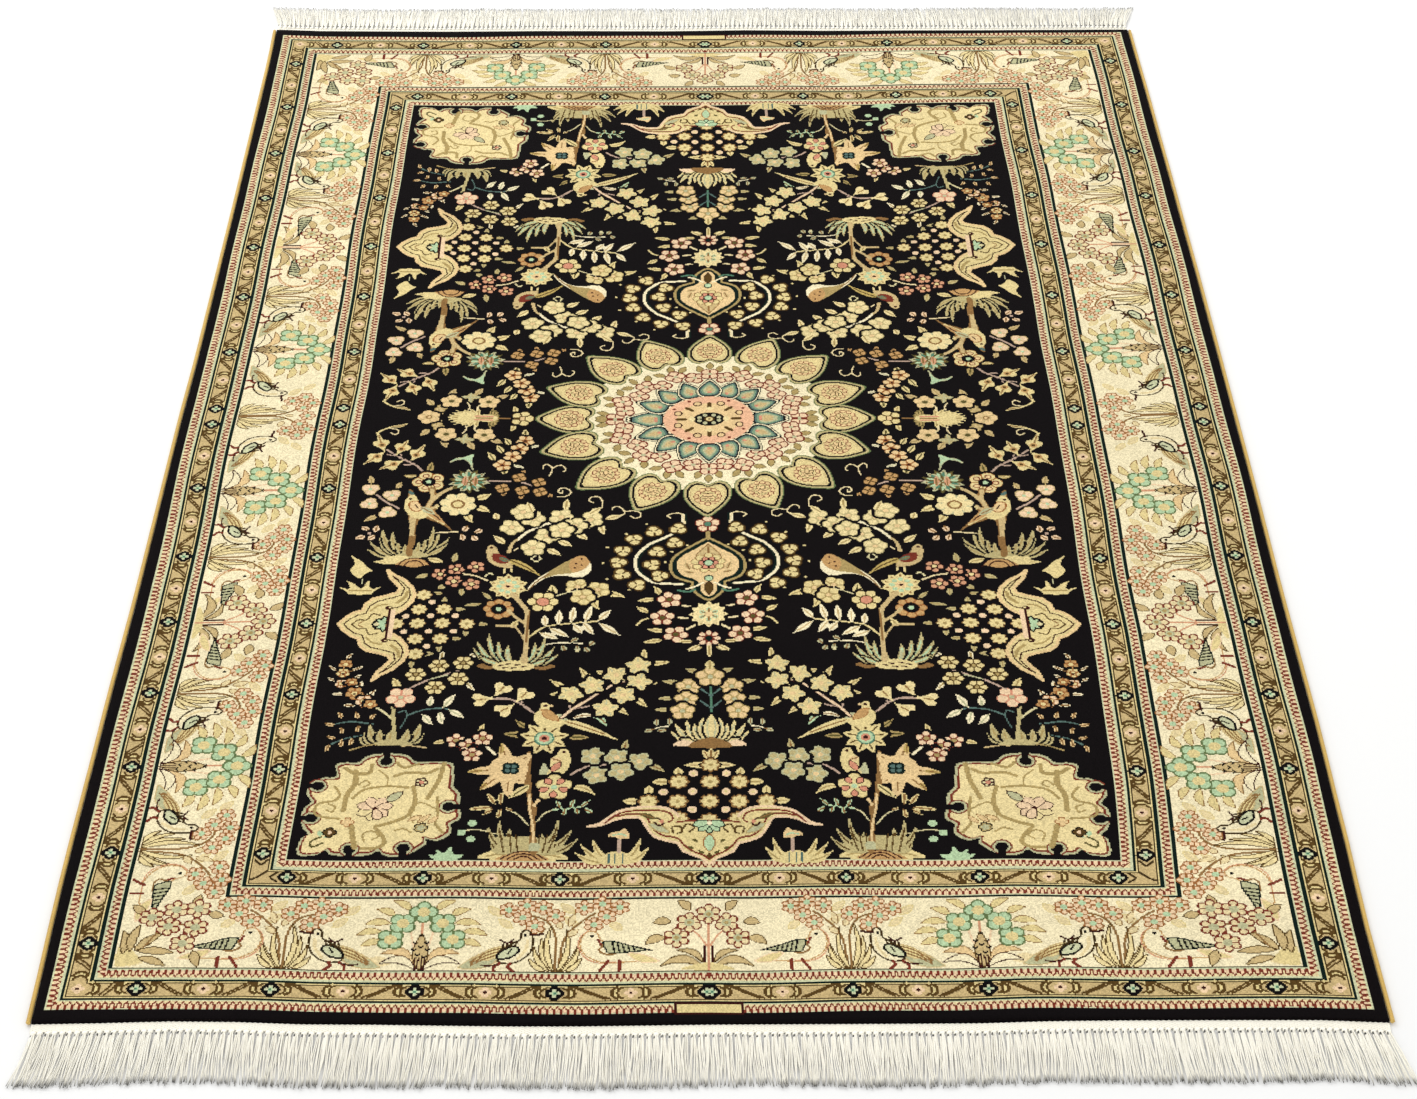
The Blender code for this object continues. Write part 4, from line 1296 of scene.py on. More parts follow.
# a number in a node tree, so that sums of them are written as sums
class Value:
    def __init__(self, socket):
        self.socket = socket

    def __add__(self, other):
        return doMath("ADD", self, other)

    def __sub__(self, other):
        return doMath("SUBTRACT", self, other)

    def __rsub__(self, other):
        return doMath("SUBTRACT", other, self)

    def __mul__(self, other):
        return doMath("MULTIPLY", self, other)

    def __truediv__(self, other):
        return doMath("DIVIDE", self, other)

    def __rtruediv__(self, other):
        return doMath("DIVIDE", other, self)

    def __pow__(self, other):
        return doMath("POWER", self, other)


def addNode(tree, kind, inputs=None, **settings):
    node = tree.nodes.new(kind)
    for name, value in settings.items():
        setattr(node, name, value)
    for name, value in (inputs or {}).items():
        if isinstance(value, Value):
            value = value.socket
        if isinstance(value, bpy.types.NodeSocket):
            tree.links.new(value, node.inputs[name])
        else:
            node.inputs[name].default_value = value
    return node


def doMath(operation, *values):
    tree = next(value.socket.id_data for value in values if isinstance(value, Value))
    return Value(addNode(tree, "ShaderNodeMath", dict(enumerate(values)), operation=operation).outputs[0])


def timesPlus(value, factor, more):
    return doMath("MULTIPLY_ADD", value, factor, more)


def split(tree, vector):
    return [Value(part) for part in addNode(tree, "ShaderNodeSeparateXYZ", {0: vector}).outputs]


def shadeBy(tree, colour, share):
    return addNode(tree, "ShaderNodeVectorMath", {0: colour, "Scale": share}, operation="SCALE").outputs[0]


def noise(tree, where, scale, detail, **settings):
    inputs = {"Vector": where, "Scale": scale, "Detail": detail}
    return Value(addNode(tree, "ShaderNodeTexNoise", inputs, **settings).outputs["Fac"])


def groupInputs(tree):
    return {socket.name: Value(socket) for socket in addNode(tree, "NodeGroupInput").outputs if socket.name}


def newMaterial(name, roughness, sheen=0, sheenRoughness=0.5, shine=0.25):
    material = bpy.data.materials.new(name)
    material.use_nodes = True
    shader = material.node_tree.nodes["Principled BSDF"]
    for label, value in (("Roughness", roughness), ("Sheen Weight", sheen),
                         ("Sheen Roughness", sheenRoughness), ("Specular IOR Level", shine)):
        shader.inputs[label].default_value = value
    return material, material.node_tree, shader


def dress(tree, shader, colour, height, strength, distance):
    bump = addNode(tree, "ShaderNodeBump", {"Height": height, "Strength": strength, "Distance": distance})
    tree.links.new(colour, shader.inputs["Base Color"])
    tree.links.new(bump.outputs[0], shader.inputs["Normal"])


def toLinear(colour):
    return tuple(c / 3294.6 if c <= 10 else ((c / 255 + 0.055) / 1.055) ** 2.4 for c in colour)


# wool and silk both have fine fibres: a mottled shade and a soft bump, by Object coordinates
def makeFibreGroup():
    group = bpy.data.node_groups.new("fibreShade", "ShaderNodeTree")
    for name, low, high in (("Grain Size", 0.0001, 0.1), ("Shade", 0.0, 1.0),
                            ("Patch Size", 0.001, 1.0), ("Patch Shade", 0.0, 1.0)):
        socket = group.interface.new_socket(name, in_out="INPUT", socket_type="NodeSocketFloat")
        socket.min_value, socket.max_value = low, high
    for name, side, kind in (("Colour", "INPUT", "Color"), ("Vector", "INPUT", "Vector"),
                             ("Colour", "OUTPUT", "Color"), ("Height", "OUTPUT", "Float")):
        group.interface.new_socket(name, in_out=side, socket_type="NodeSocket" + kind)
    given = groupInputs(group)
    grain = noise(group, given["Vector"], 1 / given["Grain Size"], 2)
    patches = noise(group, given["Vector"], 1 / given["Patch Size"], 3)
    shade = (grain - 0.5) * given["Shade"] + (patches - 0.5) * given["Patch Shade"] + 1
    addNode(group, "NodeGroupOutput", {"Colour": shadeBy(group, given["Colour"], shade), "Height": grain})
    return group


fibreShade = makeFibreGroup()


# sizes: of the grain, its shade, of the patches, their shade
def addFibre(tree, colour, *sizes):
    inputs = dict(zip(("Grain Size", "Shade", "Patch Size", "Patch Shade"), sizes))
    inputs["Vector"] = addNode(tree, "ShaderNodeTexCoord").outputs["Object"]
    inputs["Colour"] = colour if isinstance(colour, bpy.types.NodeSocket) else (*toLinear(colour), 1)
    node = addNode(tree, "ShaderNodeGroup", inputs, node_tree=fibreShade)
    return node.outputs["Colour"], Value(node.outputs["Height"])


def keepMesh(name, points, faces, material):
    mesh = bpy.data.meshes.new(name)
    mesh.from_pydata([tuple(p) for p in points], [], faces)
    mesh.materials.append(material)
    return addObject(name, mesh)


# the rug's edges are read from the solids
rugWidth, rugLength, pileHeight = 1.000, 1.560, 0.004


def readEdges():
    solid = np.array([v.co for v in cadNodes["rug_body"].data.vertices])
    rim = solid[solid[:, 2] < 0.0005]
    halfWide, halfLong = 0.97 * rim[:, 0].max(), 0.98 * rim[:, 1].max()

    def line(points, along, out):
        order = np.unique(points[:, along].round(5), return_index=True)[1]
        return points[order, along], points[order, out]

    return {
        "left": line(rim[rim[:, 0] < -halfWide], 1, 0),
        "right": line(rim[rim[:, 0] > halfWide], 1, 0),
        "near": line(rim[rim[:, 1] < -halfLong], 0, 1),
        "far": line(rim[rim[:, 1] > halfLong], 0, 1),
    }


edges = readEdges()


# across and along run from 0 at the left and the near end to 1 at the right and the far end
def onRug(across, along):
    left, right = (np.interp((along - 0.5) * rugLength, *edges[side]) for side in ("left", "right"))
    near, far = (np.interp((across - 0.5) * rugWidth, *edges[end]) for end in ("near", "far"))
    return left + (right - left) * across, near + (far - near) * along


# the pile's face rises and dips by half a millimetre, as the solid's does
def faceHeight(x, y):
    longWave = np.sin(5.2 * x + 1.9 * y) * np.cos(3.1 * y - 1.4 * x)
    shortWave = np.sin(17 * x + 2) * np.cos(13 * y)
    return pileHeight + 0.0005 * (0.65 * longWave + 0.35 * shortWave)


# the pile is one closed sheet, its face carrying 4 by 6 knots on each small quad
pile = {
    "quadsAcross": 240,
    "quadsAlong": 250,
    "knotColumns": 4,
    "knotRows": 6,
    "edgeRound": 0.0012,
    "rimSteps": ((0.7, 0.00365), (1, 0.0028), (1, 0)),  # share of the way out, and height
    "waver": 0.0007,
    "knotTuft": 0.00035,  # bump height of a knot
    "knotShade": (0.44, 0.74),  # how far the shade of a knot varies, and the darkest
    "rowShade": (0.24, 0.88),
    "sheen": 0,
}
knotsAcross = pile["quadsAcross"] * pile["knotColumns"]
knotsAlong = pile["quadsAlong"] * pile["knotRows"]


# hand work drifts: how far, in mm, the drawing has moved to the right and towards the near end,
# read beside the photo, from left to right, at places from the near end (0) to the far one (1)
drift = {
    "across": (0.03, 0.155, 0.34, 0.5, 0.66, 0.845, 0.97),
    "along": (0.02, 0.17, 0.295, 0.495, 0.62, 0.745, 0.86, 0.98),
    "right": (
        (1, 1, 1, -1, -15, -15, -3),
        (5, 3, 2, 1, -13, -7, -4),
        (5, 2, -1, -1, -9, -3, -3),
        (3, 3, 0, 0, -7, -3, -3),
        (2, 3, 2, 1, -6, -3, -3),
        (3, 3, 3, 1, -8, -5, -4),
        (3, 4, 6, 1, -7, -5, -3),
        (4, 5, 5, 2, -8, -7, -4),
    ),
    "near": (
        (2, 2, 4, 3, 3, 3, 2),
        (5, 6, 4, 3, 6, 10, 9),
        (8, 7, 5, 5, 5, 10, 12),
        (6, 6, 8, 11, 10, 11, 6),
        (14, 16, 18, 26, 20, 17, 13),
        (8, 9, 16, 19, 16, 6, 3),
        (6, 6, 7, 9, 7, 2, 0),
        (3, 3, 1, 0, -1, -4, -6),
    ),
    "heldSides": 0.008,  # this close to a side or an end the drift fades out
}


def driftOf(way, across, along):
    rows = np.array([np.interp(across, drift["across"], row) for row in drift[way]])
    place = np.interp(along, drift["along"], np.arange(len(rows)))
    lower = np.minimum(place.astype(int), len(rows) - 2)
    picked = np.arange(len(across))
    share = place - lower
    return 0.001 * (rows[lower, picked] * (1 - share) + rows[lower + 1, picked] * share)


# where a place of the drawing lies on the rug
def wovenPlace(across, along):
    x, y = onRug(across, along)
    fromSide = np.clip(np.minimum(across, 1 - across) * rugWidth / drift["heldSides"], 0, 1)
    fromEnd = np.clip(np.minimum(along, 1 - along) * rugLength / drift["heldSides"], 0, 1)
    waveX = np.sin(23 * along + 4 * across) + 0.6 * np.sin(51 * along - 9 * across + 1)
    waveY = np.sin(17 * across + 5 * along + 2) + 0.6 * np.sin(43 * across + 8 * along)
    x = x + fromSide * (pile["waver"] * waveX + driftOf("right", across, along))
    y = y + fromEnd * (pile["waver"] * waveY - driftOf("near", across, along))
    return x, y


def packKnots(chart):
    rows, columns = pile["knotRows"], pile["knotColumns"]
    blocks = chart.reshape(chart.shape[0] // rows, rows, chart.shape[1] // columns, columns)
    packed = (blocks * dyeLimit ** np.arange(columns)).sum(axis=3).transpose(0, 2, 1)
    return packed.reshape(-1, rows)


def makePile(chart, material):
    nx, ny = pile["quadsAcross"], pile["quadsAlong"]
    across, along = np.arange(nx + 1) / nx, np.arange(ny + 1) / ny
    across[[0, -1]] += np.array([1, -1]) * pile["edgeRound"] / rugWidth
    along[[0, -1]] += np.array([1, -1]) * pile["edgeRound"] / rugLength
    gridAcross, gridAlong = (g.ravel() for g in np.meshgrid(across, along))
    x, y = wovenPlace(gridAcross, gridAlong)
    points = [np.stack([x, y, faceHeight(x, y)], 1)]
    knots = [np.stack([gridAcross * knotsAcross, gridAlong * knotsAlong], 1)]

    number = np.arange((nx + 1) * (ny + 1)).reshape(ny + 1, nx + 1)
    topFaces = np.stack([number[:-1, :-1], number[:-1, 1:], number[1:, 1:], number[1:, :-1]], 2)
    topFaces = topFaces.reshape(-1, 4)
    quadX, quadY = (g.ravel() for g in np.meshgrid(np.arange(nx), np.arange(ny)))
    base = [np.stack([quadX * pile["knotColumns"], quadY * pile["knotRows"]], 1)]

    # the rim goes once round, and down in three rings
    ring = np.concatenate([number[0, :-1], number[:-1, -1], number[-1, :0:-1], number[:0:-1, 0]])
    column, row = ring % (nx + 1), ring // (nx + 1)
    rimAcross, rimAlong = column / nx, row / ny
    rimPlaces = np.stack(wovenPlace(rimAcross, rimAlong), 1)
    inner = points[0][ring]
    rings = [ring]
    for outShare, height in pile["rimSteps"]:
        rings.append(sum(len(p) for p in points) + np.arange(len(ring)))
        flat = inner[:, :2] + (rimPlaces - inner[:, :2]) * outShare
        points.append(np.column_stack([flat, np.full(len(ring), height)]))
        knots.append(knots[0][ring])
    rimFaces = []
    for upper, lower in zip(rings, rings[1:]):
        rimFaces.append(np.stack([lower, np.roll(lower, -1), np.roll(upper, -1), upper], 1))
    rimFaces = np.concatenate(rimFaces)

    # the underside has quads twice as large, which meet the rim at every second point
    under = np.full((ny + 1, nx + 1), -1)
    under.ravel()[ring] = rings[-1]
    inside = np.zeros_like(under, bool)
    inside[2:-2:2, 2:-2:2] = True
    under[inside] = sum(len(p) for p in points) + np.arange(inside.sum())
    flat = inside.ravel()
    points.append(np.column_stack([x[flat], y[flat], np.zeros(flat.sum())]))
    knots.append(knots[0][flat])
    underFaces = []
    for j in range(0, ny, 2):
        for i in range(0, nx, 2):
            loop = [under[j, i], under[j + 1, i], under[j + 2, i], under[j + 2, i + 1], under[j + 2, i + 2]]
            loop += [under[j + 1, i + 2], under[j, i + 2], under[j, i + 1]]
            underFaces.append([int(v) for v in loop if v >= 0])
            base.append(((i * pile["knotColumns"], j * pile["knotRows"]),))

    points, knots = np.concatenate(points), np.concatenate(knots)
    base.insert(1, np.floor(knots[rimFaces[:, 0]]))
    base = np.concatenate(base)
    faces = topFaces.tolist() + rimFaces.tolist() + underFaces
    obj = keepMesh("knotted_pile", points, faces, material)
    mesh = obj.data

    # which part of the sheet a face is on: 0 face, 1 rim, 2 underside
    zone = np.repeat([0, 1, 2], [len(topFaces), len(rimFaces), len(underFaces)])
    edgeKnots = np.full((len(rimFaces), pile["knotRows"]), edgeColour * (dyeLimit**4 - 1) / (dyeLimit - 1))
    packed = np.concatenate([packKnots(chart), edgeKnots, packKnots(chart[::2, ::2])])
    for name, part in (("knotRowsA", packed[:, :3]), ("knotRowsB", packed[:, 3:])):
        mesh.attributes.new(name, "FLOAT_VECTOR", "FACE").data.foreach_set("vector", part.ravel())

    corner = np.empty(len(mesh.loops), int)
    mesh.loops.foreach_get("vertex_index", corner)
    counts = np.empty(len(mesh.polygons), int)
    mesh.polygons.foreach_get("loop_total", counts)
    face = np.repeat(np.arange(len(counts)), counts)
    step = np.where(zone == 2, 2, 1)[face][:, None]
    local = (knots[corner] - base[face]) / step
    mesh.uv_layers.new(name="knotPlace").data.foreach_set("uv", local.ravel())
    mesh.uv_layers.new(name="rugPlace").data.foreach_set("uv", knots[corner].ravel())
    baked = bakePlace(points, zone, corner, face, ring, len(topFaces))
    mesh.uv_layers.new(name="OFBake").data.foreach_set("uv", baked.ravel())
    mesh.polygons.foreach_set("use_smooth", np.ones(len(counts), bool))
    mesh.update()
    return obj


# face, underside and rim each have their own part of the square
def bakePlace(points, zone, corner, face, ring, topCount):
    flat = points[corner, :2] + (0.51, 0.79)
    place = flat * 0.61 + (0.005, 0.005)
    isUnder = zone[face] == 2
    place[isUnder] = flat[isUnder] * 0.30 + (0.66, 0.005)
    rimLoops = np.flatnonzero(zone[face] == 1)
    quad = face[rimLoops] - topCount
    level, spot = quad // len(ring), quad % len(ring)
    turn = np.tile([0, 1, 1, 0], len(rimLoops) // 4)
    drop = np.tile([1, 1, 0, 0], len(rimLoops) // 4)
    side, along = np.divmod(spot * 4 / len(ring), 1)
    place[rimLoops, 0] = 0.66 + 0.08 * side + 0.02 * (level + drop)
    place[rimLoops, 1] = 0.50 + 0.47 * (along + turn * 4 / len(ring))
    return place


# reads the knot's palette number from the quad's packed rows, and colours it
def makePileMaterial():
    material, tree, shader = newMaterial("knottedPile", 0.8, pile["sheen"], 0.45, 0.04)
    inQuad = split(tree, addNode(tree, "ShaderNodeUVMap", uv_map="knotPlace").outputs[0])
    counts = pile["knotColumns"], pile["knotRows"]
    column, row = (doMath("FLOOR", doMath("MINIMUM", doMath("MAXIMUM", part, 0.001), count - 0.001))
                   for part, count in zip(inQuad, counts))
    packedRow = 0
    for half, name in enumerate(("knotRowsA", "knotRowsB")):
        rows = addNode(tree, "ShaderNodeAttribute", attribute_name=name, attribute_type="GEOMETRY")
        for axis, packed in enumerate(split(tree, rows.outputs["Vector"])):
            packedRow = timesPlus(doMath("COMPARE", row, 3 * half + axis, 0.5), packed, packedRow)
    divisor = 1
    for place in (1, 2, 3):
        divisor = timesPlus(doMath("COMPARE", column, place, 0.5), dyeLimit**place - 1, divisor)
    number = doMath("MODULO", doMath("FLOOR", (packedRow + 0.5) / divisor), dyeLimit)
    ramp = addNode(tree, "ShaderNodeValToRGB", {0: (number + 0.5) / dyeLimit})
    ramp.color_ramp.interpolation = "CONSTANT"
    stops = ramp.color_ramp.elements
    stops.remove(stops[1])
    stops[0].position, stops[0].color = 0, (*toLinear(palette[0]), 1)
    for place, colour in enumerate(palette[1:], 1):
        stops.new(place / dyeLimit).color = (*toLinear(colour), 1)

    # each knot catches the light a little differently, and the dye changes slowly from row to row
    whole = addNode(tree, "ShaderNodeUVMap", uv_map="rugPlace").outputs[0]
    knot = addNode(tree, "ShaderNodeVectorMath", {0: whole}, operation="FLOOR").outputs[0]
    chance = addNode(tree, "ShaderNodeTexWhiteNoise", {"Vector": knot}, noise_dimensions="2D")
    stretched = addNode(tree, "ShaderNodeMapping", {"Vector": whole, "Scale": (0.0015, 0.012, 1)})
    abrash = noise(tree, stretched.outputs[0], 1, 3, noise_dimensions="2D")
    shade = timesPlus(Value(chance.outputs["Value"]), *pile["knotShade"])
    dyed = shadeBy(tree, ramp.outputs[0], shade * timesPlus(abrash, *pile["rowShade"]))
    colour, grain = addFibre(tree, dyed, 0.0007, 0.22, 0.12, 0.10)

    # a knot is a small dome of cut ends
    inKnot = addNode(tree, "ShaderNodeVectorMath", {0: whole}, operation="FRACTION").outputs[0]
    dome = 1
    for part in split(tree, inKnot)[:2]:
        dome = doMath("SINE", part * math.pi) * dome
    dress(tree, shader, colour, timesPlus(grain, 0.9, dome), 0.25, pile["knotTuft"])
    return material


pileObject = makePile(chart, makePileMaterial())
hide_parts("rug_body")
print("pile knotted:", knotsAcross, "by", knotsAlong)


def addGeometry(tree, kind, inputs=None, **settings):
    return Value(addNode(tree, "GeometryNode" + kind, inputs, **settings).outputs[0])


def offset(tree, **parts):
    return addNode(tree, "ShaderNodeCombineXYZ", parts).outputs[0]


def store(tree, geometry, name, value, kind="FLOAT"):
    inputs = {0: geometry, "Name": name, "Value": value}
    return addGeometry(tree, "StoreNamedAttribute", inputs, data_type=kind, domain="POINT")


def stored(tree, name, kind="FLOAT"):
    return addGeometry(tree, "InputNamedAttribute", {"Name": name}, data_type=kind)


def tube(tree, path, sides, radius, **more):
    ring = addGeometry(tree, "CurvePrimitiveCircle", {"Resolution": sides, "Radius": radius})
    return addGeometry(tree, "CurveToMesh", {"Curve": path, "Profile Curve": ring, "Fill Caps": True, **more})


wholeNumbers = ("Turns", "Points Per Turn", "Wefts", "Warps", "Threads", "Seed")


def newTree(name, *labels):
    tree = bpy.data.node_groups.new(name, "GeometryNodeTree")
    for label in ("Geometry", *labels, "Material"):
        kind = "Int" if label in wholeNumbers else "Float" if label in labels else label
        tree.interface.new_socket(label, in_out="INPUT", socket_type="NodeSocket" + kind)
    tree.interface.new_socket("Geometry", in_out="OUTPUT", socket_type="NodeSocketGeometry")
    return tree, groupInputs(tree)


def endTree(tree, material, *parts):
    joined = addNode(tree, "GeometryNodeJoinGeometry")
    for part in parts:
        tree.links.new(part.socket, joined.inputs[0])
    real = addGeometry(tree, "RealizeInstances", {0: joined.outputs[0]})
    smoothed = addGeometry(tree, "SetShadeSmooth", {0: real})
    dressed = addGeometry(tree, "SetMaterial", {0: smoothed, "Material": material})
    addNode(tree, "NodeGroupOutput", {0: dressed})
    return tree


# runs a tree on a plain mesh of points or lines, and keeps the result as a plain mesh
def growPiece(name, tree, guide, values):
    start = addObject(name + "_guide", guide)
    modifier = start.modifiers.new("grow", "NODES")
    modifier.node_group = tree
    for item in tree.interface.items_tree:
        if item.in_out == "INPUT" and item.name in values:
            modifier[item.identifier] = values[item.name]
    bpy.context.view_layer.update()
    depsgraph = bpy.context.evaluated_depsgraph_get()
    mesh = bpy.data.meshes.new_from_object(start.evaluated_get(depsgraph))
    mesh.name = name
    start.modifiers.clear()
    bpy.data.objects.remove(start)
    return addObject(name, mesh)


def lineMesh(name, points):
    mesh = bpy.data.meshes.new(name)
    mesh.from_pydata([tuple(p) for p in points], [(i, i + 1) for i in range(len(points) - 1)], [])
    return mesh


# side cords: gold thread wrapped round the edge warps
cord = {
    "radius": 0.0021,
    "gap": 0.0003,
    "threadRadius": 0.0005,
    "turnPitch": 0.0012,
    "pointsPerTurn": 6,
    "colour": (214, 178, 92),
}


def makeCordTree():
    labels = "Core Radius", "Wrap Radius", "Thread Radius", "Turns", "Points Per Turn"
    tree, given = newTree("wrappedCord", *labels)
    path = addGeometry(tree, "MeshToCurve", {0: given["Geometry"]})
    core = tube(tree, path, 8, given["Core Radius"])
    count = given["Turns"] * given["Points Per Turn"]
    fine = addGeometry(tree, "ResampleCurve", {"Curve": path, "Count": count})
    angle = addGeometry(tree, "InputIndex") / given["Points Per Turn"] * (2 * math.pi)
    outX, outZ = (doMath(side, angle) * given["Wrap Radius"] for side in ("COSINE", "SINE"))
    wound = addGeometry(tree, "SetPosition", {0: fine, "Offset": offset(tree, X=outX, Z=outZ)})
    return endTree(tree, given["Material"], core, tube(tree, wound, 4, given["Thread Radius"]))


def makeCordMaterial():
    material, tree, shader = newMaterial("goldSilk", 0.42, 0.3)
    colour, grain = addFibre(tree, cord["colour"], 0.0009, 0.45, 0.03, 0.30)
    dress(tree, shader, colour, grain, 0.4, 0.0002)
    return material


def makeCord(name, side, tree, material):
    along = np.linspace(0, 1, 66)
    x, y = onRug(np.full_like(along, 0.5 + side / 2), along)
    x = x + side * (cord["radius"] + cord["gap"])
    wrapRadius = cord["radius"] - cord["threadRadius"]
    guide = np.column_stack([x, y, np.full_like(y, cord["radius"])])
    obj = growPiece(name, tree, lineMesh(name, guide), {
        "Core Radius": wrapRadius, "Wrap Radius": wrapRadius, "Thread Radius": cord["threadRadius"],
        "Turns": round(rugLength / cord["turnPitch"]), "Points Per Turn": cord["pointsPerTurn"],
        "Material": material})
    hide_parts(name.replace("overcast", "side_cord"))
    return obj


cordTree, cordMaterial = makeCordTree(), makeCordMaterial()
cords = [makeCord("overcast_left", -1, cordTree, cordMaterial),
         makeCord("overcast_right", 1, cordTree, cordMaterial)]
print("side cords wrapped")


# end webs: a narrow plain weave past the last row of knots
web = {
    "width": 0.008,
    "gap": 0.0003,
    "thickness": 0.0018,
    "wefts": 8,
    "warpPitch": 0.002,
    "weftRadius": 0.000552,
    "lift": 0.00028,
}
warpColour = (255, 251, 237)


def makeWebTree():
    tree, given = newTree("plainWeave", "Wefts", "Width", "Warps", "Weft Radius", "Lift", "Way")
    path = addGeometry(tree, "MeshToCurve", {0: given["Geometry"]})
    fine = addGeometry(tree, "ResampleCurve", {"Curve": path, "Count": given["Warps"]})
    kept = store(tree, fine, "warpNumber", addGeometry(tree, "InputIndex"), "INT")
    inputs = {0: kept, "Amount": given["Wefts"]}
    rows = addNode(tree, "GeometryNodeDuplicateElements", inputs, domain="SPLINE").outputs
    row = Value(rows["Duplicate Index"])
    over = doMath("COSINE", (stored(tree, "warpNumber", "INT") + row) * math.pi)
    sideways = (row + 0.5) / given["Wefts"] * given["Width"]
    shift = offset(tree, Y=sideways * given["Way"], Z=over * given["Lift"])
    placed = addGeometry(tree, "SetPosition", {0: rows[0], "Offset": shift})
    return endTree(tree, given["Material"], tube(tree, placed, 5, given["Weft Radius"]))


fringe = {
    "bundles": 186,
    "threads": 7,
    "threadRadius": 0.00055,
    "reach": 0.0525,
    "trim": 0.0045,
    "knotHeight": 0.0017,
    "knotSize": 0.0024,
    "seed": 11,
    "wave": 0.0011,
    "stray": 0.0016,
    "hump": 0.001,
    # how dark the painted shade in the gaps beside the knots is, and how fast the tips darken
    "paintedKnotShade": 0.95,
    "tipDusk": 7.5,
}


def makeWarpMaterial(name, roughness, loose=False):
    material, tree, shader = newMaterial(name, roughness, 0.35)
    colour, grain = addFibre(tree, warpColour, 0.0012, 0.20, 0.02, 0.16)
    if loose:
        # painted shade in the gap beside each knot, on the first two threads of a bundle, and frayed tips
        # that darken towards their ends
        share, thread = (Value(addNode(tree, "ShaderNodeAttribute", attribute_name=fact).outputs["Fac"])
                         for fact in ("fromKnot", "thread"))
        nearKnot = doMath("COMPARE", share, 0.045, 0.03) * doMath("COMPARE", thread, 0, 1.5)
        paintedShadeAtRoot = nearKnot * doMath("GREATER_THAN", share, 0.015)
        tip = doMath("MAXIMUM", share - 0.87, 0) * fringe["tipDusk"]
        colour = shadeBy(tree, colour, 1 - timesPlus(paintedShadeAtRoot, fringe["paintedKnotShade"], tip))
    dress(tree, shader, colour, grain, 0.35, 0.0002)
    return material


def makeWeb(name, end, tree, material):
    across = np.linspace(0, 1, 41)
    x, y = onRug(across, np.full_like(across, 0.5 + end / 2))
    guide = np.column_stack([x, y + end * web["gap"], np.full_like(x, web["thickness"] * 0.5)])
    obj = growPiece(name, tree, lineMesh(name, guide), {
        "Wefts": web["wefts"], "Width": web["width"], "Warps": round(rugWidth / web["warpPitch"]),
        "Weft Radius": web["weftRadius"], "Lift": web["lift"], "Way": float(end), "Material": material})
    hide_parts(name.replace("plain_web", "end_web"))
    return obj


webTree, webMaterial = makeWebTree(), makeWarpMaterial("creamWeb", 0.75)
webs = [makeWeb("plain_web_near", -1, webTree, webMaterial),
        makeWeb("plain_web_far", 1, webTree, webMaterial)]
print("end webs woven")


# fringes: a row of knots, and the loose warp ends below them
def makeFringeTree():
    labels = "Threads", "Thread Radius", "Bundle Width", "Way", "Knot Size", "Seed"
    tree, given = newTree("looseFringe", *labels)
    roots = addGeometry(tree, "MeshToPoints", {0: given["Geometry"]})
    inputs = {0: roots, "Amount": given["Threads"]}
    many = addNode(tree, "GeometryNodeDuplicateElements", inputs, domain="POINT").outputs
    kept = store(tree, many[0], "thread", many["Duplicate Index"])
    inputs = {"Seed": given["Seed"], "Min": (-1, -1, -1), "Max": (1, 1, 1)}
    chance = addNode(tree, "FunctionNodeRandomValue", inputs, data_type="FLOAT_VECTOR")
    kept = store(tree, kept, "luck", chance.outputs["Value"], "FLOAT_VECTOR")
    straight = addGeometry(tree, "CurvePrimitiveLine", {"Start": (0, 0, 0), "End": (0, 1, 0)})
    cut = addGeometry(tree, "ResampleCurve", {"Curve": straight, "Count": 12})
    marked = store(tree, cut, "fromKnot", addNode(tree, "GeometryNodeSplineParameter").outputs["Factor"])
    laid = addGeometry(tree, "InstanceOnPoints", {"Points": kept, "Instance": marked})
    real = addGeometry(tree, "RealizeInstances", {0: laid})

    share = stored(tree, "fromKnot")
    luck = split(tree, stored(tree, "luck", "FLOAT_VECTOR"))
    lean, reach, phase = split(tree, stored(tree, "bundle", "FLOAT_VECTOR"))
    inBundle = (stored(tree, "thread") + 0.5) / given["Threads"] - 0.5
    # threads leave the knot together and open out towards their tips
    fan = inBundle * given["Bundle Width"] * timesPlus(share ** 0.5, 0.95, 0.34)
    wavePhase = timesPlus(share, 5.2, timesPlus(luck[2], 1.3, phase))
    wave = doMath("SINE", wavePhase) * (share * fringe["wave"])
    stray = luck[0] * (share ** 2 * fringe["stray"])
    across = fan + lean * share ** 1.4 + (wave + stray)
    out = reach * timesPlus(luck[1], 0.035, 1) * share * given["Way"]
    # they rise over the knot, then lie on each other and on the floor
    hump = doMath("SINE", share * math.pi) * fringe["hump"]
    rise = hump + (1 - share) * 0.0008 + timesPlus(luck[2], 0.0006, 0.0013)
    old = split(tree, addGeometry(tree, "InputPosition"))
    new = offset(tree, X=old[0] + across, Y=old[1] - share + out, Z=rise)
    shaped = addGeometry(tree, "SetPosition", {0: real, "Position": new})
    taper = 1 - share ** 3 * 0.45
    threads = tube(tree, shaped, 3, given["Thread Radius"], Scale=taper)
    ball = addGeometry(tree, "MeshIcoSphere", {"Radius": given["Knot Size"], "Subdivisions": 2})
    squashed = addGeometry(tree, "Transform", {0: ball, "Scale": (1, 0.8, 0.62), "Rotation": (0, 0, 0.5)})
    knots = addGeometry(tree, "InstanceOnPoints", {"Points": roots, "Instance": squashed})
    return endTree(tree, given["Material"], threads, knots)


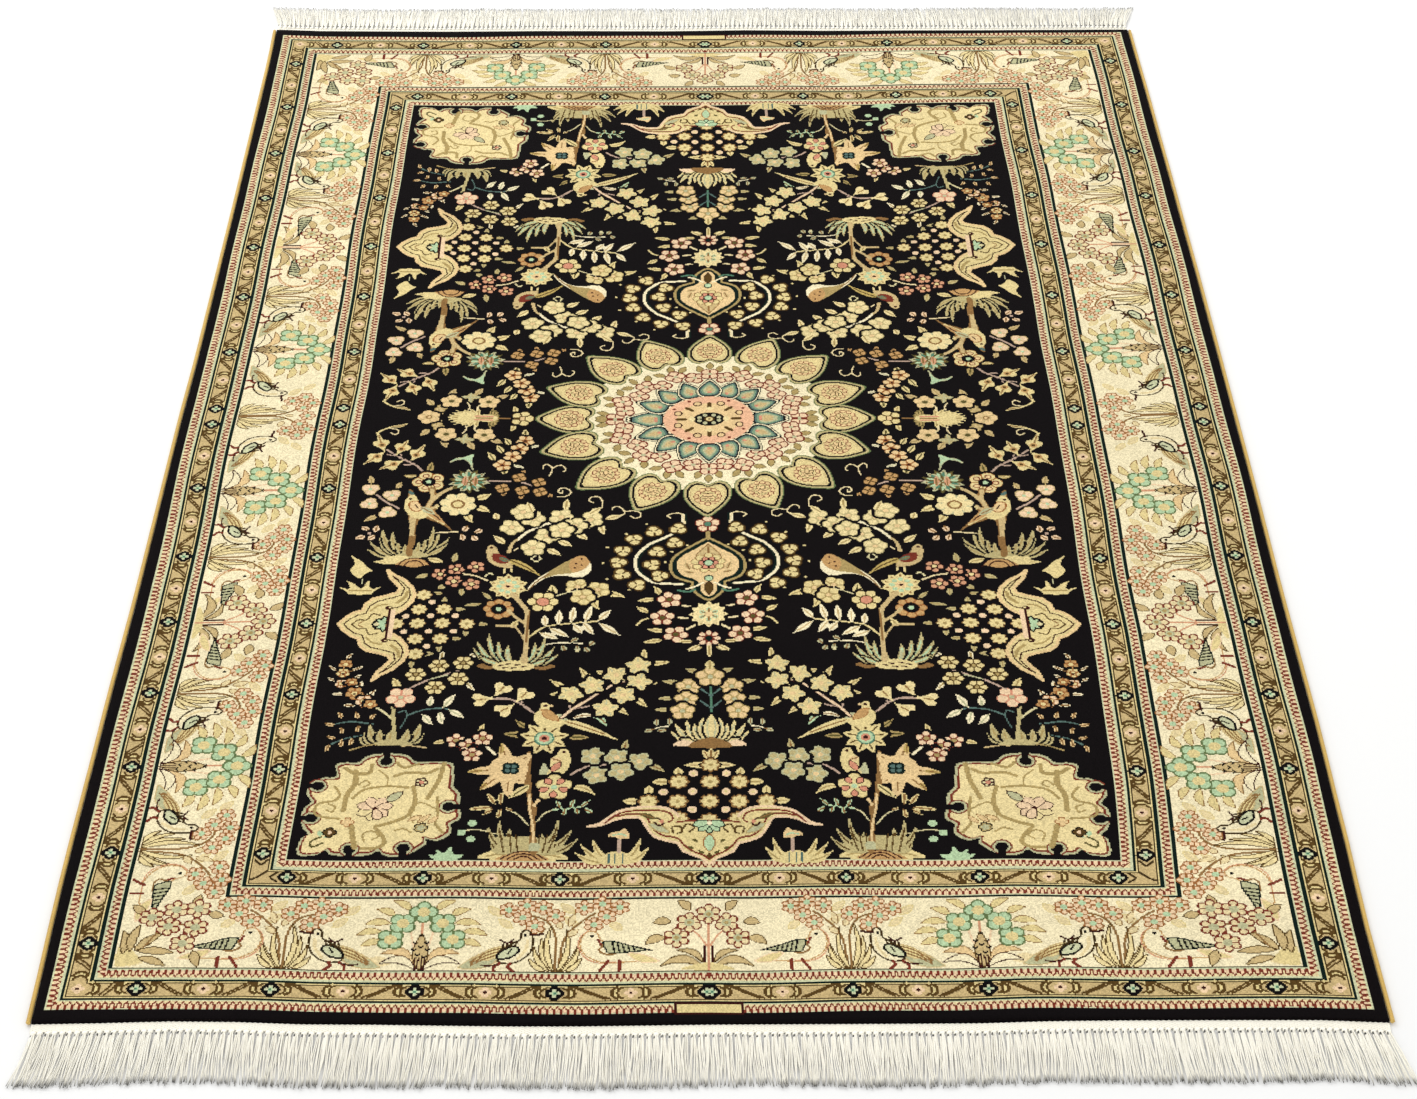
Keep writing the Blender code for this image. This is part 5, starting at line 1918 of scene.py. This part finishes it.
# how far the tips lean to the right, by their place across the rug
nearLean = ((-0.50, -0.44, -0.34, -0.24, -0.10, 0.06, 0.20, 0.34, 0.44, 0.50),
            (-0.0060, -0.0030, 0.0015, -0.0030, -0.0010, 0.0030, -0.0010, 0.0020, 0.0020, 0.0105))
farLean = ((-0.50, -0.45, -0.30, -0.12, 0.08, 0.26, 0.44, 0.50),
           (-0.0140, -0.0030, 0.0020, -0.0025, 0.0025, -0.0020, 0.0020, 0.0150))


def makeFringe(name, end, leanTable, tree, material):
    count = fringe["bundles"]
    across = (np.arange(count) + 0.5) / count
    chance = np.random.default_rng(fringe["seed"] + end)
    x, y = onRug(across, np.full(count, 0.5 + end / 2))
    x = x + chance.uniform(-0.0004, 0.0004, count)
    y = y + end * (web["gap"] + web["width"] + 0.0018)
    mesh = bpy.data.meshes.new(name)
    mesh.from_pydata([(a, b, fringe["knotHeight"]) for a, b in zip(x, y)], [], [])
    lean = np.interp(across - 0.5, *leanTable) + chance.normal(0, 0.0007, count)
    cutShort = 0.35 + 0.2 * np.sin(31 * x + 0.6) + 0.45 * chance.random(count)
    reach = fringe["reach"] - fringe["trim"] * cutShort
    facts = np.column_stack([lean, reach, chance.uniform(0, 6.28, count)])
    mesh.attributes.new("bundle", "FLOAT_VECTOR", "POINT").data.foreach_set("vector", facts.ravel())
    obj = growPiece(name, tree, mesh, {
        "Threads": fringe["threads"], "Thread Radius": fringe["threadRadius"],
        "Bundle Width": 1.05 * rugWidth / count, "Way": float(end), "Knot Size": fringe["knotSize"],
        "Seed": fringe["seed"] + end, "Material": material})
    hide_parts(name.replace("loose_fringe", "fringe"))
    return obj


fringeTree, fringeMaterial = makeFringeTree(), makeWarpMaterial("looseWarps", 0.6, loose=True)
fringes = [makeFringe("loose_fringe_near", -1, nearLean, fringeTree, fringeMaterial),
           makeFringe("loose_fringe_far", 1, farLean, fringeTree, fringeMaterial)]
print("fringes knotted")


def makeFloor():
    material, tree, shader = newMaterial("paleFloor", 0.9)
    fibre = addFibre(tree, [255 * c for c in studio["floorColour"]], 0.01, 0.01, 0.5, 0.01)
    tree.links.new(fibre[0], shader.inputs["Base Color"])
    half, height = 30, studio["floorHeight"]
    corners = [(x * half, y * half, height) for x, y in ((-1, -1), (1, -1), (1, 1), (-1, 1))]
    keepMesh("floor", corners, [(0, 1, 2, 3)], material)


def makeLight():
    world = bpy.data.worlds.new("studio")
    world.use_nodes = True
    sky = world.node_tree.nodes["Background"].inputs
    sky["Color"].default_value, sky["Strength"].default_value = (1, 1, 1, 1), studio["worldLight"]
    bpy.context.scene.world = world
    data = bpy.data.lights.new("key", "AREA")
    data.shape, data.energy = "RECTANGLE", studio["keyLight"]
    data.size, data.size_y = studio["keySize"]
    lamp = addObject("key", data)
    lamp.location = studio["keyPlace"]
    lamp.rotation_euler = (Vector((0, 0, 0)) - lamp.location).to_track_quat("-Z", "Y").to_euler()


makeFloor()
makeLight()
bpy.context.scene.view_settings.view_transform = "Standard"

for piece in [pileObject, *cords, *webs, *fringes]:
    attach(piece, "root")
